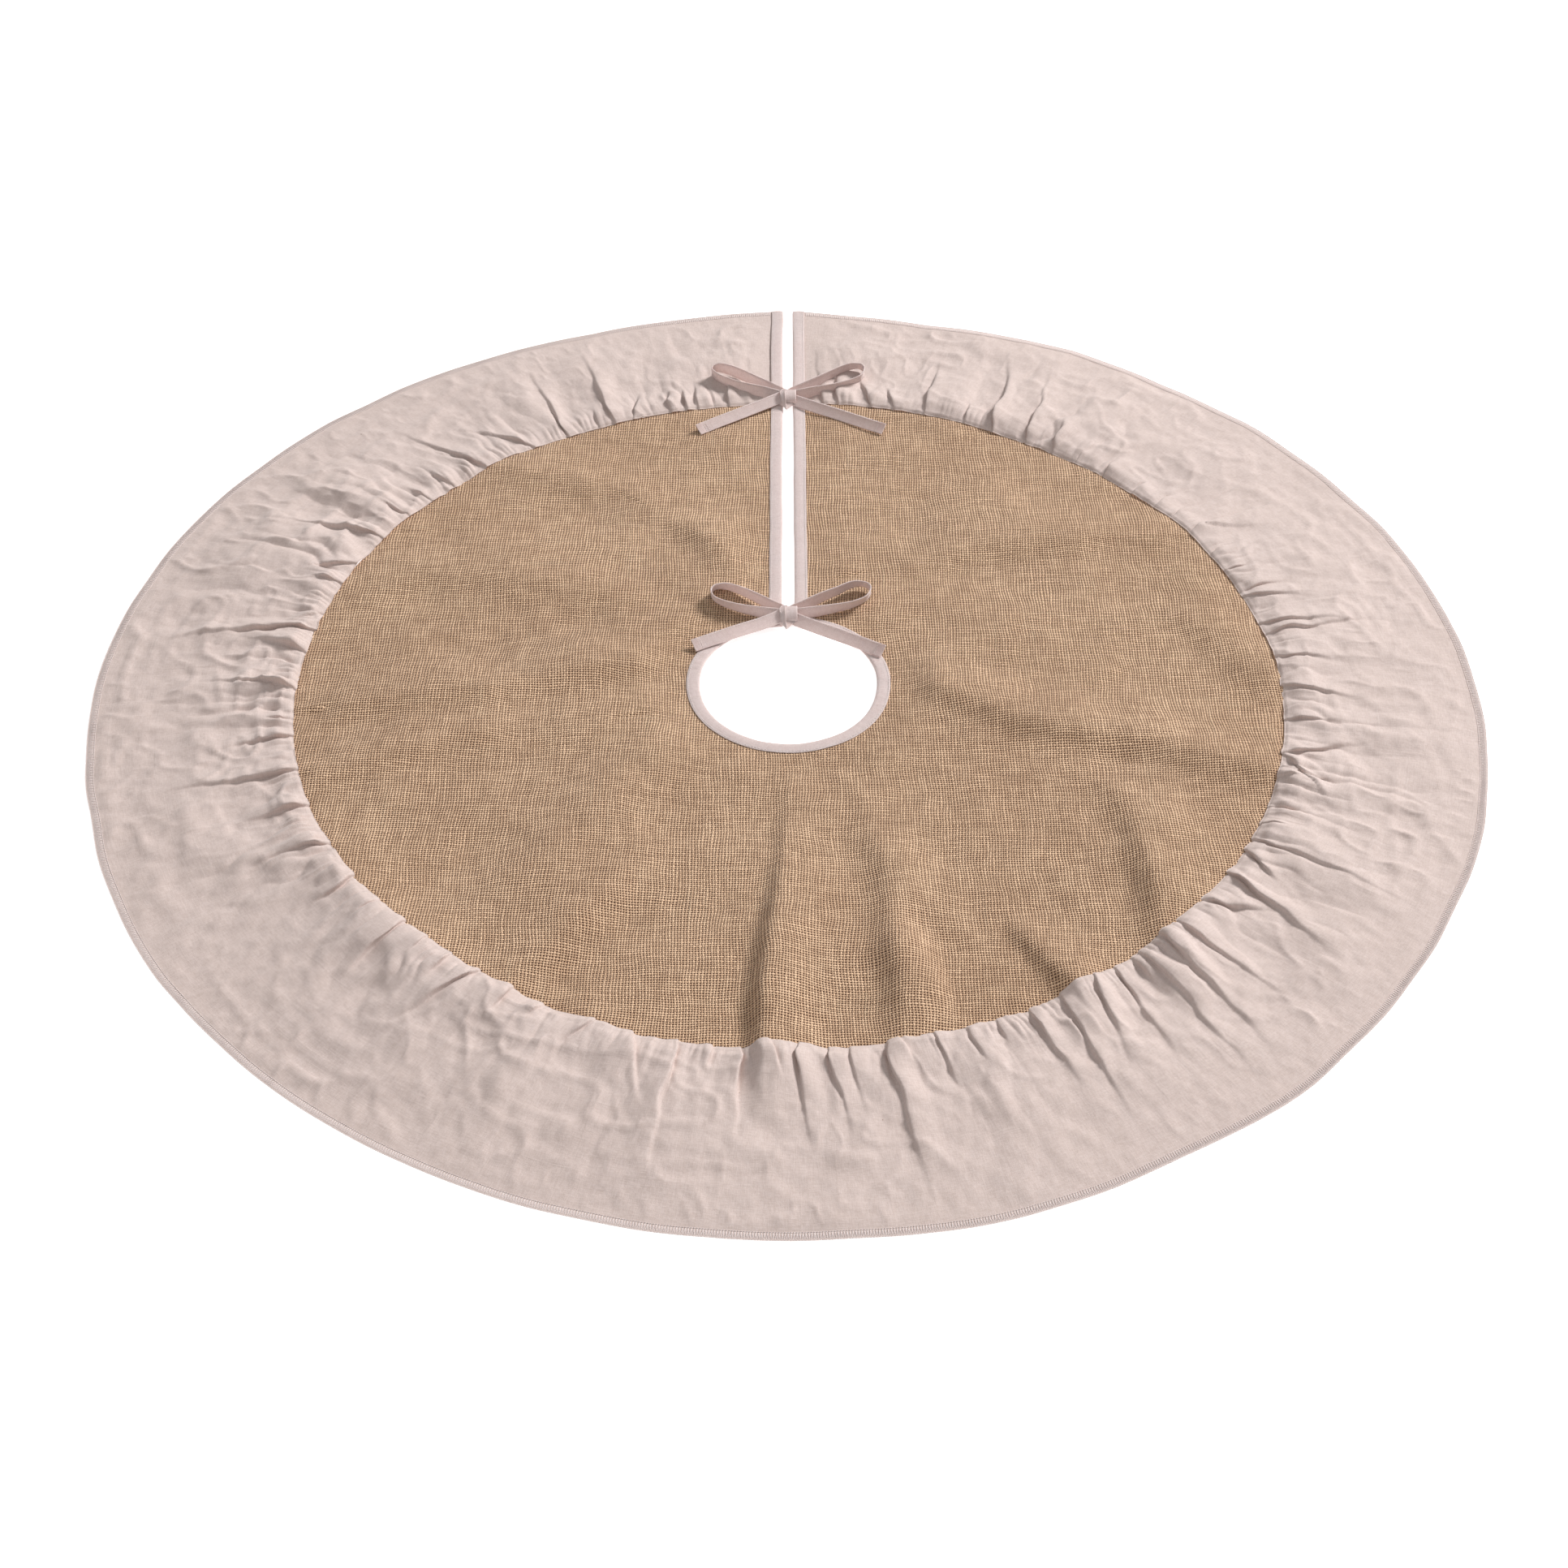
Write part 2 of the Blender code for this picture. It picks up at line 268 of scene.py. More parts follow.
def build_weave(g, group_in, group_out):
    split = g.node("SeparateXYZ")
    g.set(split.inputs[0], group_in.outputs["Vector"])
    x, y = split.outputs[0], split.outputs[1]
    pitch, wander = group_in.outputs["Pitch"], group_in.outputs["Wander"]
    warp_off, warp_no, warp_at = threads(g, x, y, pitch, wander, 3.0)
    weft_off, weft_no, weft_at = threads(g, y, x, pitch, wander, 11.0)
    wave = g.math("MULTIPLY", g.math("SINE", g.math("MULTIPLY", warp_at, math.pi)),
                  g.math("SINE", g.math("MULTIPLY", weft_at, math.pi)))
    heights = []
    domes = []
    tones = []
    for off, number, crossing, sign, seed in (
            (warp_off, warp_no, weft_at, 0.5, 5.0), (weft_off, weft_no, warp_at, -0.5, 17.0)):
        spot = g.node("CombineXYZ")
        g.set(spot.inputs[0], g.math("ADD", number, seed))
        g.set(spot.inputs[1], g.math("MULTIPLY", crossing, 0.025))
        tone = g.node("TexNoise", noise_dimensions="2D")
        g.set(tone.inputs["Vector"], spot.outputs[0])
        tone.inputs["Scale"].default_value = 3.7
        tone.inputs["Detail"].default_value = 1.0
        tones.append(tone.outputs["Fac"])
        width = g.math("MULTIPLY_ADD", tone.outputs["Fac"], 0.3, group_in.outputs["Fullness"])
        round_top = g.math("MULTIPLY", g.math("DIVIDE", off, width), 2.0)
        dome = g.math("SUBTRACT", 1.0, g.math("MULTIPLY", round_top, round_top), clamp=True)
        dome = g.math("SQRT", dome)
        domes.append(dome)
        lift = g.math("MULTIPLY_ADD", wave, sign, 0.5)
        heights.append(g.math("MULTIPLY", dome, g.math("MULTIPLY_ADD", lift, 0.75, 0.25)))
    height = g.math("MAXIMUM", *heights)
    on_top = g.math("GREATER_THAN", heights[0], heights[1])
    tone = g.math("ADD", g.math("MULTIPLY", on_top, tones[0]),
                  g.math("MULTIPLY", g.math("SUBTRACT", 1.0, on_top), tones[1]))
    g.set(group_out.inputs["Height"], height)
    g.set(group_out.inputs["Tone"], tone)
    gap = g.math("MULTIPLY", g.math("SUBTRACT", 1.0, domes[0]), g.math("SUBTRACT", 1.0, domes[1]))
    g.set(group_out.inputs["Hole"], g.ramp(gap, 0.06, 0.34))


build_weave(weave, weave_in, weave_out)
weave_tree = weave.tree
print("weave group nodes:", len(weave_tree.nodes))

# %% [markdown]
# ## Finishes
# Jute is coarse, brown and hairy, with paler, thicker threads here and there. The gaps between its
# threads are painted dark as painted shade, and each thread carries painted shade where it sinks
# and a painted highlight on its crown. The ruffle is a fine blush cotton with slubs and a few dark
# seed flecks. The tape is a denser cotton, pinker than the ruffle, and the thread is the palest of
# all. Both cottons carry a little painted shade in the gaps of their weave.


# %% Jute
def flat_coordinates(graph):
    return graph.node("UVMap", uv_map="flat").outputs[0]


def add_bump(graph, shader, *layers):
    """layers are (height socket, distance in metres), the coarsest first."""
    normal = None
    for height, distance in layers:
        bump = graph.node("Bump")
        bump.inputs["Strength"].default_value = 1.0
        bump.inputs["Distance"].default_value = distance
        graph.set(bump.inputs["Height"], height)
        if normal is not None:
            graph.set(bump.inputs["Normal"], normal)
        normal = bump.outputs[0]
    graph.set(shader.inputs["Normal"], normal)


def jute_material():
    material, g, shader = new_material("jute_burlap", 0.85, sheen=0.15)
    cloth = flat_coordinates(g)
    pull = g.node("TexNoise")
    g.set(pull.inputs["Vector"], cloth)
    pull.inputs["Scale"].default_value = 11
    pulled = g.node("VectorMath", operation="MULTIPLY_ADD")
    g.set(pulled.inputs[0], pull.outputs["Color"])
    pulled.inputs[1].default_value = (0.012, 0.012, 0.0)
    g.set(pulled.inputs[2], cloth)
    cell = g.group(weave_tree, Vector=pulled.outputs[0], Pitch=0.0024, Wander=0.55, Fullness=0.60)
    height, tone, hole = (cell.outputs[k] for k in ("Height", "Tone", "Hole"))
    fibre = g.noise(cloth, 900, 3.0, 0.6)
    patch = g.noise(cloth, 7, 3.0, 0.55)
    slub = g.math("MAXIMUM", g.noise(cloth, 16, 1.0, 0.5, across=9.0, along=0.6),
                  g.noise(cloth, 17, 1.0, 0.5, across=0.6, along=9.0))
    # Painted shade and painted highlight: each thread is darker where it sinks and palest on its
    # crown.
    thread = g.mix(g.ramp(height, 0.15, 0.85), (0.345, 0.163, 0.075, 1), (0.985, 0.695, 0.465, 1))
    thread = g.mix(g.ramp(tone, 0.35, 0.7, 0.38, 0.0), thread, (0.36, 0.19, 0.10, 1))
    thread = g.mix(g.ramp(slub, 0.66, 0.8, 0.0, 0.35), thread, (0.84, 0.62, 0.42, 1))
    thread = g.mix(g.ramp(fibre, 0.35, 0.7, 0.0, 0.25), thread, (0.40, 0.22, 0.115, 1))
    thread = g.mix(g.ramp(patch, 0.35, 0.65, 0.0, 0.18), thread, (0.36, 0.19, 0.10, 1))
    # Painted shade: the gaps between the threads are painted near black-brown, as the shade seen
    # through them.
    g.set(shader.inputs["Base Color"],
          g.mix(hole, thread, (0.085, 0.032, 0.013, 1)))
    add_bump(g, shader, (height, 0.0011), (fibre, 0.00016))
    return material


JUTE = jute_material()
print("finish:", JUTE.name)


# %% Ruffle cotton
def cotton_material(name, light, shade, pitch, flecks):
    material, g, shader = new_material(name, 0.8, sheen=0.2)
    cloth = flat_coordinates(g)
    cell = g.group(weave_tree, Vector=cloth, Pitch=pitch, Wander=0.4, Fullness=0.8)
    slub_across = g.noise(cloth, 60, 2.0, 0.6, across=0.12, along=8.0)
    slub_along = g.noise(cloth, 60, 2.0, 0.6, across=8.0, along=0.12)
    cloud = g.noise(cloth, 14, 4.0, 0.6)
    colour = g.mix(g.ramp(cell.outputs["Tone"], 0.3, 0.7), shade, light)
    # Painted shade: the gaps of the weave are darkened a little.
    colour = g.mix(g.math("MULTIPLY", cell.outputs["Hole"], 0.22), colour, (0.45, 0.31, 0.25, 1))
    colour = g.mix(g.ramp(slub_across, 0.60, 0.80, 0.0, 0.2), colour, (0.80, 0.70, 0.65, 1))
    colour = g.mix(g.ramp(slub_along, 0.6, 0.80, 0.0, 0.2), colour, (0.6, 0.46, 0.4, 1))
    colour = g.mix(g.ramp(cloud, 0.35, 0.7, 0.0, 0.12), colour, (0.62, 0.49, 0.43, 1))
    if flecks:
        seeds = g.node("TexVoronoi", feature="F1")
        g.set(seeds.inputs["Vector"], cloth)
        seeds.inputs["Scale"].default_value = 46
        chance = g.node("SeparateColor")
        g.set(chance.inputs[0], seeds.outputs["Color"])
        size = g.math("MULTIPLY", g.ramp(chance.outputs[0], 0.55, 1.0), 0.030)
        speck = g.math("LESS_THAN", seeds.outputs["Distance"], size)
        colour = g.mix(g.math("MULTIPLY", speck, 0.6), colour, (0.20, 0.10, 0.05, 1))
    g.set(shader.inputs["Base Color"], colour)
    crumple = g.noise(cloth, 220, 3.0, 0.6)
    add_bump(g, shader, (crumple, 0.00025), (g.math("MAXIMUM", slub_across, slub_along), 0.0002),
             (cell.outputs["Height"], 0.00009))
    return material


RUFFLE_COTTON = cotton_material("blush_cotton", (0.705, 0.585, 0.545, 1), (0.61, 0.492, 0.447, 1),
                                0.00062, True)
TAPE_COTTON = cotton_material("rose_tape", (0.76, 0.62, 0.595, 1), (0.67, 0.525, 0.50, 1),
                              0.00045, False)
tape_shader = TAPE_COTTON.node_tree.nodes["Principled BSDF"]
tape_shader.inputs["Subsurface Weight"].default_value = 0.5
tape_shader.inputs["Subsurface Radius"].default_value = (0.003, 0.0028, 0.0027)
tape_shader.inputs["Subsurface Scale"].default_value = 1.0
print("finish:", RUFFLE_COTTON.name, TAPE_COTTON.name)


# %% Thread and floor
def thread_material():
    material, g, shader = new_material("rose_thread", 0.6, sheen=0.3)
    place = g.node("TexCoord").outputs["Object"]
    twist = g.noise(place, 1800, 1.0)
    colour = g.mix(g.ramp(twist, 0.35, 0.65), (0.70, 0.585, 0.56, 1), (0.86, 0.775, 0.75, 1))
    g.set(shader.inputs["Base Color"], colour)
    add_bump(g, shader, (twist, 0.0001))
    return material


THREAD = thread_material()
paper, g, shader = new_material("studio_paper", 0.9)
shader.inputs["Emission Color"].default_value = (1, 1, 1, 1)
shader.inputs["Emission Strength"].default_value = 0.6
grain = g.noise(g.node("TexCoord").outputs["Object"], 3, 2.0)
g.set(shader.inputs["Base Color"], g.mix(grain, (0.95, 0.95, 0.95, 1), (0.97, 0.97, 0.97, 1)))
floor.data.materials.append(paper)
print("finish:", THREAD.name, paper.name)

# %% [markdown]
# ## The skirt's relief
# A skirt laid out by hand isn't flat. Soft ridges cross the burlap, mostly from the hole to the
# front, and the ruffle stands in folds at its seam. Each height is a function of the place on
# the skirt, so burlap, ruffle, bindings and threads all rest on the same relief.


# %% Noise and ridges
def smooth(t):
    t = np.clip(t, 0, 1)
    return t * t * (3 - 2 * t)


NOISE_TABLE = 64


def soft_noise(u, v, cell, seed):
    """Smooth random heights from -1 to 1, with hills about one cell across."""
    table = np.random.default_rng(seed).random((NOISE_TABLE, NOISE_TABLE)) * 2 - 1
    iu, iv = np.floor(u / cell).astype(int), np.floor(v / cell).astype(int)
    fu, fv = smooth(u / cell - iu), smooth(v / cell - iv)
    corner = lambda a, b: table[(iu + a) % NOISE_TABLE, (iv + b) % NOISE_TABLE]
    low = corner(0, 0) * (1 - fu) + corner(1, 0) * fu
    high = corner(0, 1) * (1 - fu) + corner(1, 1) * fu
    return low * (1 - fv) + high * fv


def ridge(x, y, path, heights, wide_left, wide_right):
    """A soft ridge along a path, with its own width on each side of the way it runs."""
    best = np.full(x.shape, 1e9)
    value = np.zeros(x.shape)
    for (ax, ay), (bx, by), ha, hb in zip(path, path[1:], heights, heights[1:]):
        dx, dy = bx - ax, by - ay
        t = np.clip(((x - ax) * dx + (y - ay) * dy) / (dx * dx + dy * dy), 0, 1)
        px, py = x - ax - t * dx, y - ay - t * dy
        away = np.hypot(px, py)
        wide = np.where(dx * py - dy * px > 0, wide_left, wide_right)
        here = (ha + (hb - ha) * t) * np.exp(-((away / wide) ** 2))
        value = np.where(away < best, here, value)
        best = np.minimum(best, away)
    return value


# path points, heights in units of RIDGE_UNIT, widths left and right of the way the path runs
RIDGE_UNIT = 0.0015
RIDGES = [
    ([(0.006, -0.10), (-0.003, -0.24), (-0.013, -0.324), (-0.019, -0.385), (-0.019, -0.45),
      (-0.018, -0.51)], (0, 5, 9, 10, 8, 0), 0.034, 0.010),
    ([(0.058, -0.12), (0.082, -0.24), (0.089, -0.370), (0.090, -0.46)],
     (0, 6, 9, 0), 0.034, 0.017),
    ([(0.095, -0.27), (0.107, -0.308), (0.138, -0.361), (0.15, -0.41)],
     (0, -4, -6, 0), 0.018, 0.018),
    ([(0.270, -0.11), (0.288, -0.19), (0.297, -0.27), (0.300, -0.33), (0.32, -0.40)],
     (0, 6, 9, 6, 0), 0.045, 0.016),
    ([(0.170, -0.28), (0.187, -0.315), (0.222, -0.372), (0.24, -0.43)], (0, 5, 7, 0), 0.026, 0.011),
    ([(0.32, 0.13), (0.36, 0.10), (0.425, 0.01), (0.47, -0.02)], (0, 3, 3, 0), 0.040, 0.028),
    ([(0.09, 0.162), (0.159, 0.186), (0.236, 0.201), (0.375, 0.218)], (2, 5, 6, 3), 0.045, 0.022),
    ([(0.093, 0.020), (0.148, -0.022), (0.203, -0.057), (0.299, -0.083), (0.405, -0.120)],
     (2, 6, 7, 6, 4), 0.038, 0.020),
    ([(-0.093, -0.057), (-0.145, -0.130), (-0.212, -0.247), (-0.284, -0.320)],
     (2, 5, 5, 2), 0.050, 0.030),
    ([(-0.42, 0.12), (-0.33, 0.15), (-0.22, 0.14), (-0.12, 0.10)], (0, 4, 4, 0), 0.045, 0.028),
    ([(-0.384, -0.035), (-0.265, -0.013), (-0.167, 0.015), (-0.088, 0.037)],
     (4, 6, 6, 2), 0.040, 0.020),
    ([(-0.394, -0.120), (-0.294, -0.078), (-0.170, -0.057)], (4, 5, 2), 0.040, 0.024),
    ([(-0.13, 0.25), (-0.08, 0.21), (-0.045, 0.16)], (2, 5, 3), 0.040, 0.018),
    ([(-0.23, -0.39), (-0.17, -0.30), (-0.10, -0.19)], (4, 6, 0), 0.030, 0.024),
    ([(-0.30, 0.33), (-0.2, 0.30), (-0.12, 0.25)], (3, 5, 0), 0.035, 0.024),
    ([(-0.28, -0.36), (-0.32, -0.31), (-0.37, -0.24)], (5, 8, 5), 0.040, 0.040),
]


def swell(x, y):
    """The height that the whole skirt is lifted by at x, y."""
    radius = np.hypot(x, y)
    total = 0.0025 * (soft_noise(x + 9, y + 9, 0.085, 1) + 0.6)
    total = total + 0.0013 * soft_noise(x + 9, y + 9, 0.038, 2)
    total = total + 0.00045 * soft_noise(x + 9, y + 9, 0.017, 3)
    for path, heights, wide_left, wide_right in RIDGES:
        total = total + ridge(x, y, path, np.array(heights) * RIDGE_UNIT, wide_left, wide_right)
    total = np.maximum(total, 0)
    near_slit = np.where(y > 0, smooth((np.abs(x) - 0.018) / 0.045), 1.0)
    near_hole = smooth((radius - 0.092) / 0.045)
    near_edge = 1 - smooth((radius - 0.50) / 0.10)
    return total * near_slit * near_hole * near_edge


crest = swell(np.array([-0.019]), np.array([-0.385]))[0]
print("highest ridge", round(float(crest) * 1000, 1), "mm")

# %% [markdown]
# ## From a grid to cloth
# A sheet is made as a grid of points on its middle surface. The grid is pushed out by half the
# thickness on each side along its own normals, and the rim is closed, which gives a thin solid
# like the one a Solidify modifier makes, but with neighbouring pieces that meet exactly.


# %% Sheet builder
def grid_normals(points):
    """Unit normals of a grid of points, by central differences."""
    normal = np.cross(np.gradient(points, axis=1), np.gradient(points, axis=0))
    return normal / np.maximum(np.linalg.norm(normal, axis=2, keepdims=True), 1e-12)


def new_object(name, vertices, faces, material, flat=None):
    """A piece from points and faces. flat is each point's place on the flat cloth, in metres."""
    mesh = bpy.data.meshes.new(name)
    mesh.from_pydata(vertices.tolist(), [], faces)
    mesh.update()
    mesh.polygons.foreach_set("use_smooth", [True] * len(mesh.polygons))
    if flat is not None:
        layer = mesh.uv_layers.new(name="flat")
        corner = np.zeros(len(mesh.loops), np.int32)
        mesh.loops.foreach_get("vertex_index", corner)
        layer.data.foreach_set("uv", np.asarray(flat, np.float32)[corner].ravel())
    mesh.materials.append(material)
    piece = bpy.data.objects.new(name, mesh)
    bpy.context.scene.collection.objects.link(piece)
    return piece


FLOOR_CLEARANCE = 0.00005


def shell(name, points, normals, thickness, material, flat):
    """A thin closed sheet round a grid of middle points, which run anticlockwise, then outwards."""
    columns, rows = points.shape[:2]
    count = columns * rows
    top = points + normals * thickness / 2
    bottom = points - normals * thickness / 2
    bottom[..., 2] += np.maximum(FLOOR_CLEARANCE - bottom[..., 2], 0)
    top[..., 2] = np.maximum(top[..., 2], bottom[..., 2] + thickness * 0.5)
    index = np.arange(count).reshape(columns, rows)
    a, b, c, d = index[:-1, :-1], index[1:, :-1], index[1:, 1:], index[:-1, 1:]
    upper = np.stack([a, d, c, b], -1).reshape(-1, 4)
    lower = upper[:, ::-1] + count
    rim = np.concatenate([index[:, 0], index[-1, 1:], index[-2::-1, -1], index[0, -2:0:-1]])
    after = np.roll(rim, -1)
    sides = np.stack([rim, after, after + count, rim + count], -1)
    faces = np.concatenate([upper, lower, sides]).tolist()
    piece = new_object(name, np.concatenate([top.reshape(-1, 3), bottom.reshape(-1, 3)]), faces,
                       material, np.concatenate([flat.reshape(-1, 2)] * 2))
    on_rim = np.zeros(count * 2, bool)
    on_rim[rim] = True
    on_rim[rim + count] = True
    ends = np.zeros(len(piece.data.edges) * 2, np.int32)
    piece.data.edges.foreach_get("vertices", ends)
    sharp = on_rim[ends.reshape(-1, 2)].all(axis=1)
    piece.data.attributes.new("sharp_edge", "BOOLEAN", "EDGE").data.foreach_set("value", sharp)
    return piece


def rides(piece, body):
    """A piece of a flap that reaches the fold line is baked in place and rides no body; any other
    piece rides its body.
    """
    if body in ("left_flap", "right_flap"):
        low = min(v.co.y for v in piece.data.vertices)
        if low < FOLD_END:
            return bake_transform(piece)
    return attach(piece, body)


def triangles(piece):
    return sum(len(p.vertices) - 2 for p in piece.data.polygons)


print("sheet builder ready")

# %% [markdown]
# ## The burlap disc
# One round of jute, with the weave straight along the slit. Here it is three pieces that meet
# edge to edge, because the skirt folds open along a line through the hole: the front half and
# the two back quarters.


# %% Burlap
def hole_radius(bearing):
    """The hole is a little longer to the front."""
    return NECK_RADIUS - 0.001 + 0.006 * np.maximum(0, -np.sin(np.radians(bearing))) ** 1.3


def polar_grid(low, high, columns, inner, outer, rows, edge, spread=1.0):
    """Bearings and radii of a grid, low to high bearing, with one spare column at each end.
    edge is the distance of a straight slit edge from x = 0, for an end at about 90 degrees."""
    share = (np.arange(-1, columns + 1) / (columns - 1))[:, None]
    depth = (np.linspace(0, 1, rows) ** spread)[None, :]
    middle = low + share * (high - low)
    start = inner(middle) if callable(inner) else inner
    end = outer(middle) if callable(outer) else outer
    radius = start + (end - start) * depth + 0 * share
    turn = np.degrees(np.arcsin(np.clip(edge / radius, 0, 1)))  # one for each point
    first = low + turn * (abs(low - 90) < 1)
    last = high - turn * (abs(high - 90) < 1)
    return first + share * (last - first), radius


def burlap_points(bearing, radius):
    x = radius * np.cos(np.radians(bearing))
    y = radius * np.sin(np.radians(bearing))
    dip = 0.0007 * smooth((radius - SEAM_RADIUS + 0.007) / 0.006)
    return np.stack([x, y, BURLAP_MIDDLE + swell(x, y) - dip], -1)


PARTS = {"front": (180, 360), "left_flap": (90, 180), "right_flap": (0, 90)}
for part, (low, high) in PARTS.items():
    columns = 330 if part == "front" else 165
    grid = polar_grid(low, high, columns, lambda b: hole_radius(b) + 0.0012,
                      SEAM_RADIUS + 0.0006, 120, SLIT_EDGE + 0.001)
    points = burlap_points(*grid)
    normals = grid_normals(points)[1:-1]
    points = points[1:-1]
    piece = shell("jute_" + part, points, normals, BURLAP_THICKNESS, JUTE, points[..., :2])
    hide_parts("burlap_" + part)
    rides(piece, part)
    print(piece.name, triangles(piece), "triangles")

# %% [markdown]
# ## The gathered ruffle
# The ruffle is one long straight strip, about 3.9 m by 0.18 m, whose inner edge is gathered to
# the 2.7 m of the seam. At the seam it puffs up and breaks into small gathers, and here and
# there a gather runs on outwards as a long crease. Each crease has a gentle side and a steep
# side that leans over it. The creases were placed one by one; the small gathers fill in between.

# %% Ruffle folds
# (bearing at the seam, bearing at its outer end, radius of the outer end, height in millimetres)
CREASES = [
    (254.0, 257.5, 0.508, 3.0), (258.7, 259.2, 0.570, 4.0), (262.2, 262.6, 0.462, 2.5),
    (265.1, 265.6, 0.530, 4.2), (267.9, 269.3, 0.470, 3.0), (271.0, 271.6, 0.531, -4.2),
    (274.0, 275.2, 0.528, -3.2), (276.1, 276.6, 0.501, -2.4), (279.9, 280.0, 0.579, -4.6),
    (281.1, 281.6, 0.460, 2.2), (284.8, 285.2, 0.494, -3.2), (288.2, 288.6, 0.478, -2.6),
    (291.5, 291.0, 0.462, -2.2), (295.2, 294.8, 0.525, -3.4), (298.9, 296.7, 0.566, -4.0),
    (303.0, 299.5, 0.522, -3.4), (305.9, 303.4, 0.544, -3.0), (308.3, 307.6, 0.468, -2.4),
    (309.4, 307.4, 0.583, -3.6), (312.4, 310.2, 0.579, -3.6), (315.1, 315.4, 0.552, -3.4),
    (319.6, 323.7, 0.485, -3.4), (325.3, 322.2, 0.537, -5.6), (329.7, 326.8, 0.470, -5.2),
    (334.3, 334.6, 0.460, -3.0), (331.7, 330.8, 0.574, -3.4), (337.3, 337.8, 0.465, -2.6),
    (345.9, 339.4, 0.482, -4.2), (346.2, 350.9, 0.510, -4.0), (342.0, 342.4, 0.462, -2.2),
    (352.7, 353.0, 0.482, -3.0), (358.6, 356.6, 0.503, -3.6), (3.4, 2.7, 0.489, -3.4),
    (8.0, 9.3, 0.540, -3.8), (10.5, 8.9, 0.525, -3.0), (15.9, 13.7, 0.495, -3.4),
    (16.8, 17.2, 0.485, -2.6), (21.0, 21.5, 0.466, -2.6), (24.5, 24.9, 0.470, 2.4),
    (29.0, 29.9, 0.554, 4.8), (32.8, 34.2, 0.567, 3.2), (36.0, 36.8, 0.470, 2.4),
    (40.0, 40.4, 0.460, 2.6), (45.0, 45.8, 0.468, 2.2), (49.5, 50.0, 0.462, 2.4),
    (53.1, 55.1, 0.484, 3.2), (57.1, 61.2, 0.561, 4.4), (61.9, 66.5, 0.574, 5.4),
    (66.0, 67.2, 0.470, 2.4), (71.6, 73.0, 0.540, 3.8), (75.7, 77.7, 0.470, 2.8),
    (78.8, 81.5, 0.482, 4.4), (83.2, 84.5, 0.500, 4.0), (85.3, 87.4, 0.552, 4.6),
    (97.8, 97.0, 0.500, 3.2), (101.9, 101.6, 0.478, 3.4), (103.4, 103.0, 0.476, 3.0),
    (105.6, 105.2, 0.470, 2.8), (110.8, 108.4, 0.474, 3.0),
    (113.4, 112.3, 0.574, 4.4), (115.6, 115.2, 0.462, 2.4), (120.0, 118.4, 0.558, 4.4),
    (125.1, 130.6, 0.507, 4.0), (132.7, 135.8, 0.545, 4.4), (138.0, 138.8, 0.462, 2.4),
    (142.0, 142.6, 0.462, 2.6), (146.3, 147.0, 0.468, 2.8), (151.7, 155.1, 0.554, 4.2),
    (157.8, 161.5, 0.475, 3.4), (161.8, 162.6, 0.465, 2.8), (167.6, 170.0, 0.456, 2.6),
    (170.5, 174.4, 0.564, 5.4), (174.9, 173.6, 0.492, 3.0), (182.0, 180.5, 0.519, 3.8),
    (186.9, 187.0, 0.460, 2.6), (189.9, 190.9, 0.494, 3.2), (196.5, 195.6, 0.548, 4.0),
    (202.4, 202.2, 0.488, 3.0), (206.0, 205.4, 0.460, 2.2), (209.9, 208.4, 0.506, 3.4),
    (215.8, 217.1, 0.478, 3.6), (221.0, 221.4, 0.462, 3.0), (225.5, 226.6, 0.503, 4.4),
    (229.0, 229.4, 0.460, 3.0), (232.5, 232.8, 0.464, 3.4), (236.3, 233.2, 0.520, 4.8),
    (240.5, 240.2, 0.466, 3.2), (244.1, 244.0, 0.458, 3.2), (249.9, 247.5, 0.470, 3.6),
]
# (bearing, radius in millimetres) of the outer edge
OUTLINE = [(0, 607), (14, 609), (28, 608), (41, 609), (51, 605), (61, 611), (69, 604), (76, 600),
           (83, 603), (90, 609), (96, 607), (103, 603), (110, 600), (118, 604), (128, 607),
           (139, 610), (151, 612), (165, 613), (181, 612), (196, 608), (220, 610), (242, 611),
           (262, 612), (286, 614), (298, 609), (307, 611), (318, 607), (330, 605), (344, 607),
           (360, 607)]


def wrap_degrees(angle):
    return (angle + 180) % 360 - 180


def outline_radius(bearing):
    """The hand-cut outer edge."""
    at, radius = np.array(OUTLINE, float).T
    curve = np.interp(bearing % 360, at, radius) * MM
    ripple = soft_noise(bearing * 0.01 + 5, bearing * 0 + 1, 0.045, 31) * 0.0012
    seam_fade = np.minimum(1, np.minimum(bearing % 360, 360 - bearing % 360) / 4)
    return curve + ripple * seam_fade - 0.0012


# (width at the seam in metres, height in millimetres, how far they reach in metres, seed): the
# narrow folds at the seam run together into broader ones further out
GATHERS = [(0.0052, 2.8, 0.020, 21), (0.0095, 4.2, 0.040, 22), (0.0190, 5.2, 0.085, 23)]


def gathers(arc, out):
    """The height of the many small folds at the seam. arc is the way along the seam."""
    total = np.zeros(arc.shape)
    out = np.maximum(out, 0)
    for width, tall, reach, seed in GATHERS:
        bent = arc + 9 + 0.5 * width * soft_noise(arc + 9, out + 9, 0.022, seed + 30)
        wave = np.abs(soft_noise(bent, (out + 9) * 0.10, width, seed))
        strength = 0.75 + 0.6 * soft_noise(arc + 9, out * 0 + 9, 0.10, seed + 60)
        rise = smooth(out / 0.015 + 0.18)
        fade = np.exp(-((out / reach) ** 1.4))
        total = total + tall * MM * (wave - 0.12) * strength * rise * fade
    return total


def crumple(arc, out):
    """Creases in every direction, as in cotton that was folded away: sharp, low and wandering."""
    warp = 0.014 * soft_noise(arc + 9, out + 9, 0.045, 41)
    coarse = 1 - np.abs(soft_noise(arc + 9 + warp, (out + 9) * 1.25 - warp, 0.036, 42))
    fine = 1 - np.abs(soft_noise(arc + 9 - warp, (out + 9) * 1.25 + warp, 0.019, 43))
    where = 0.6 + 0.5 * soft_noise(arc + 9, out + 9, 0.08, 44)
    return (0.0024 * coarse ** 5 + 0.0014 * fine ** 4) * where


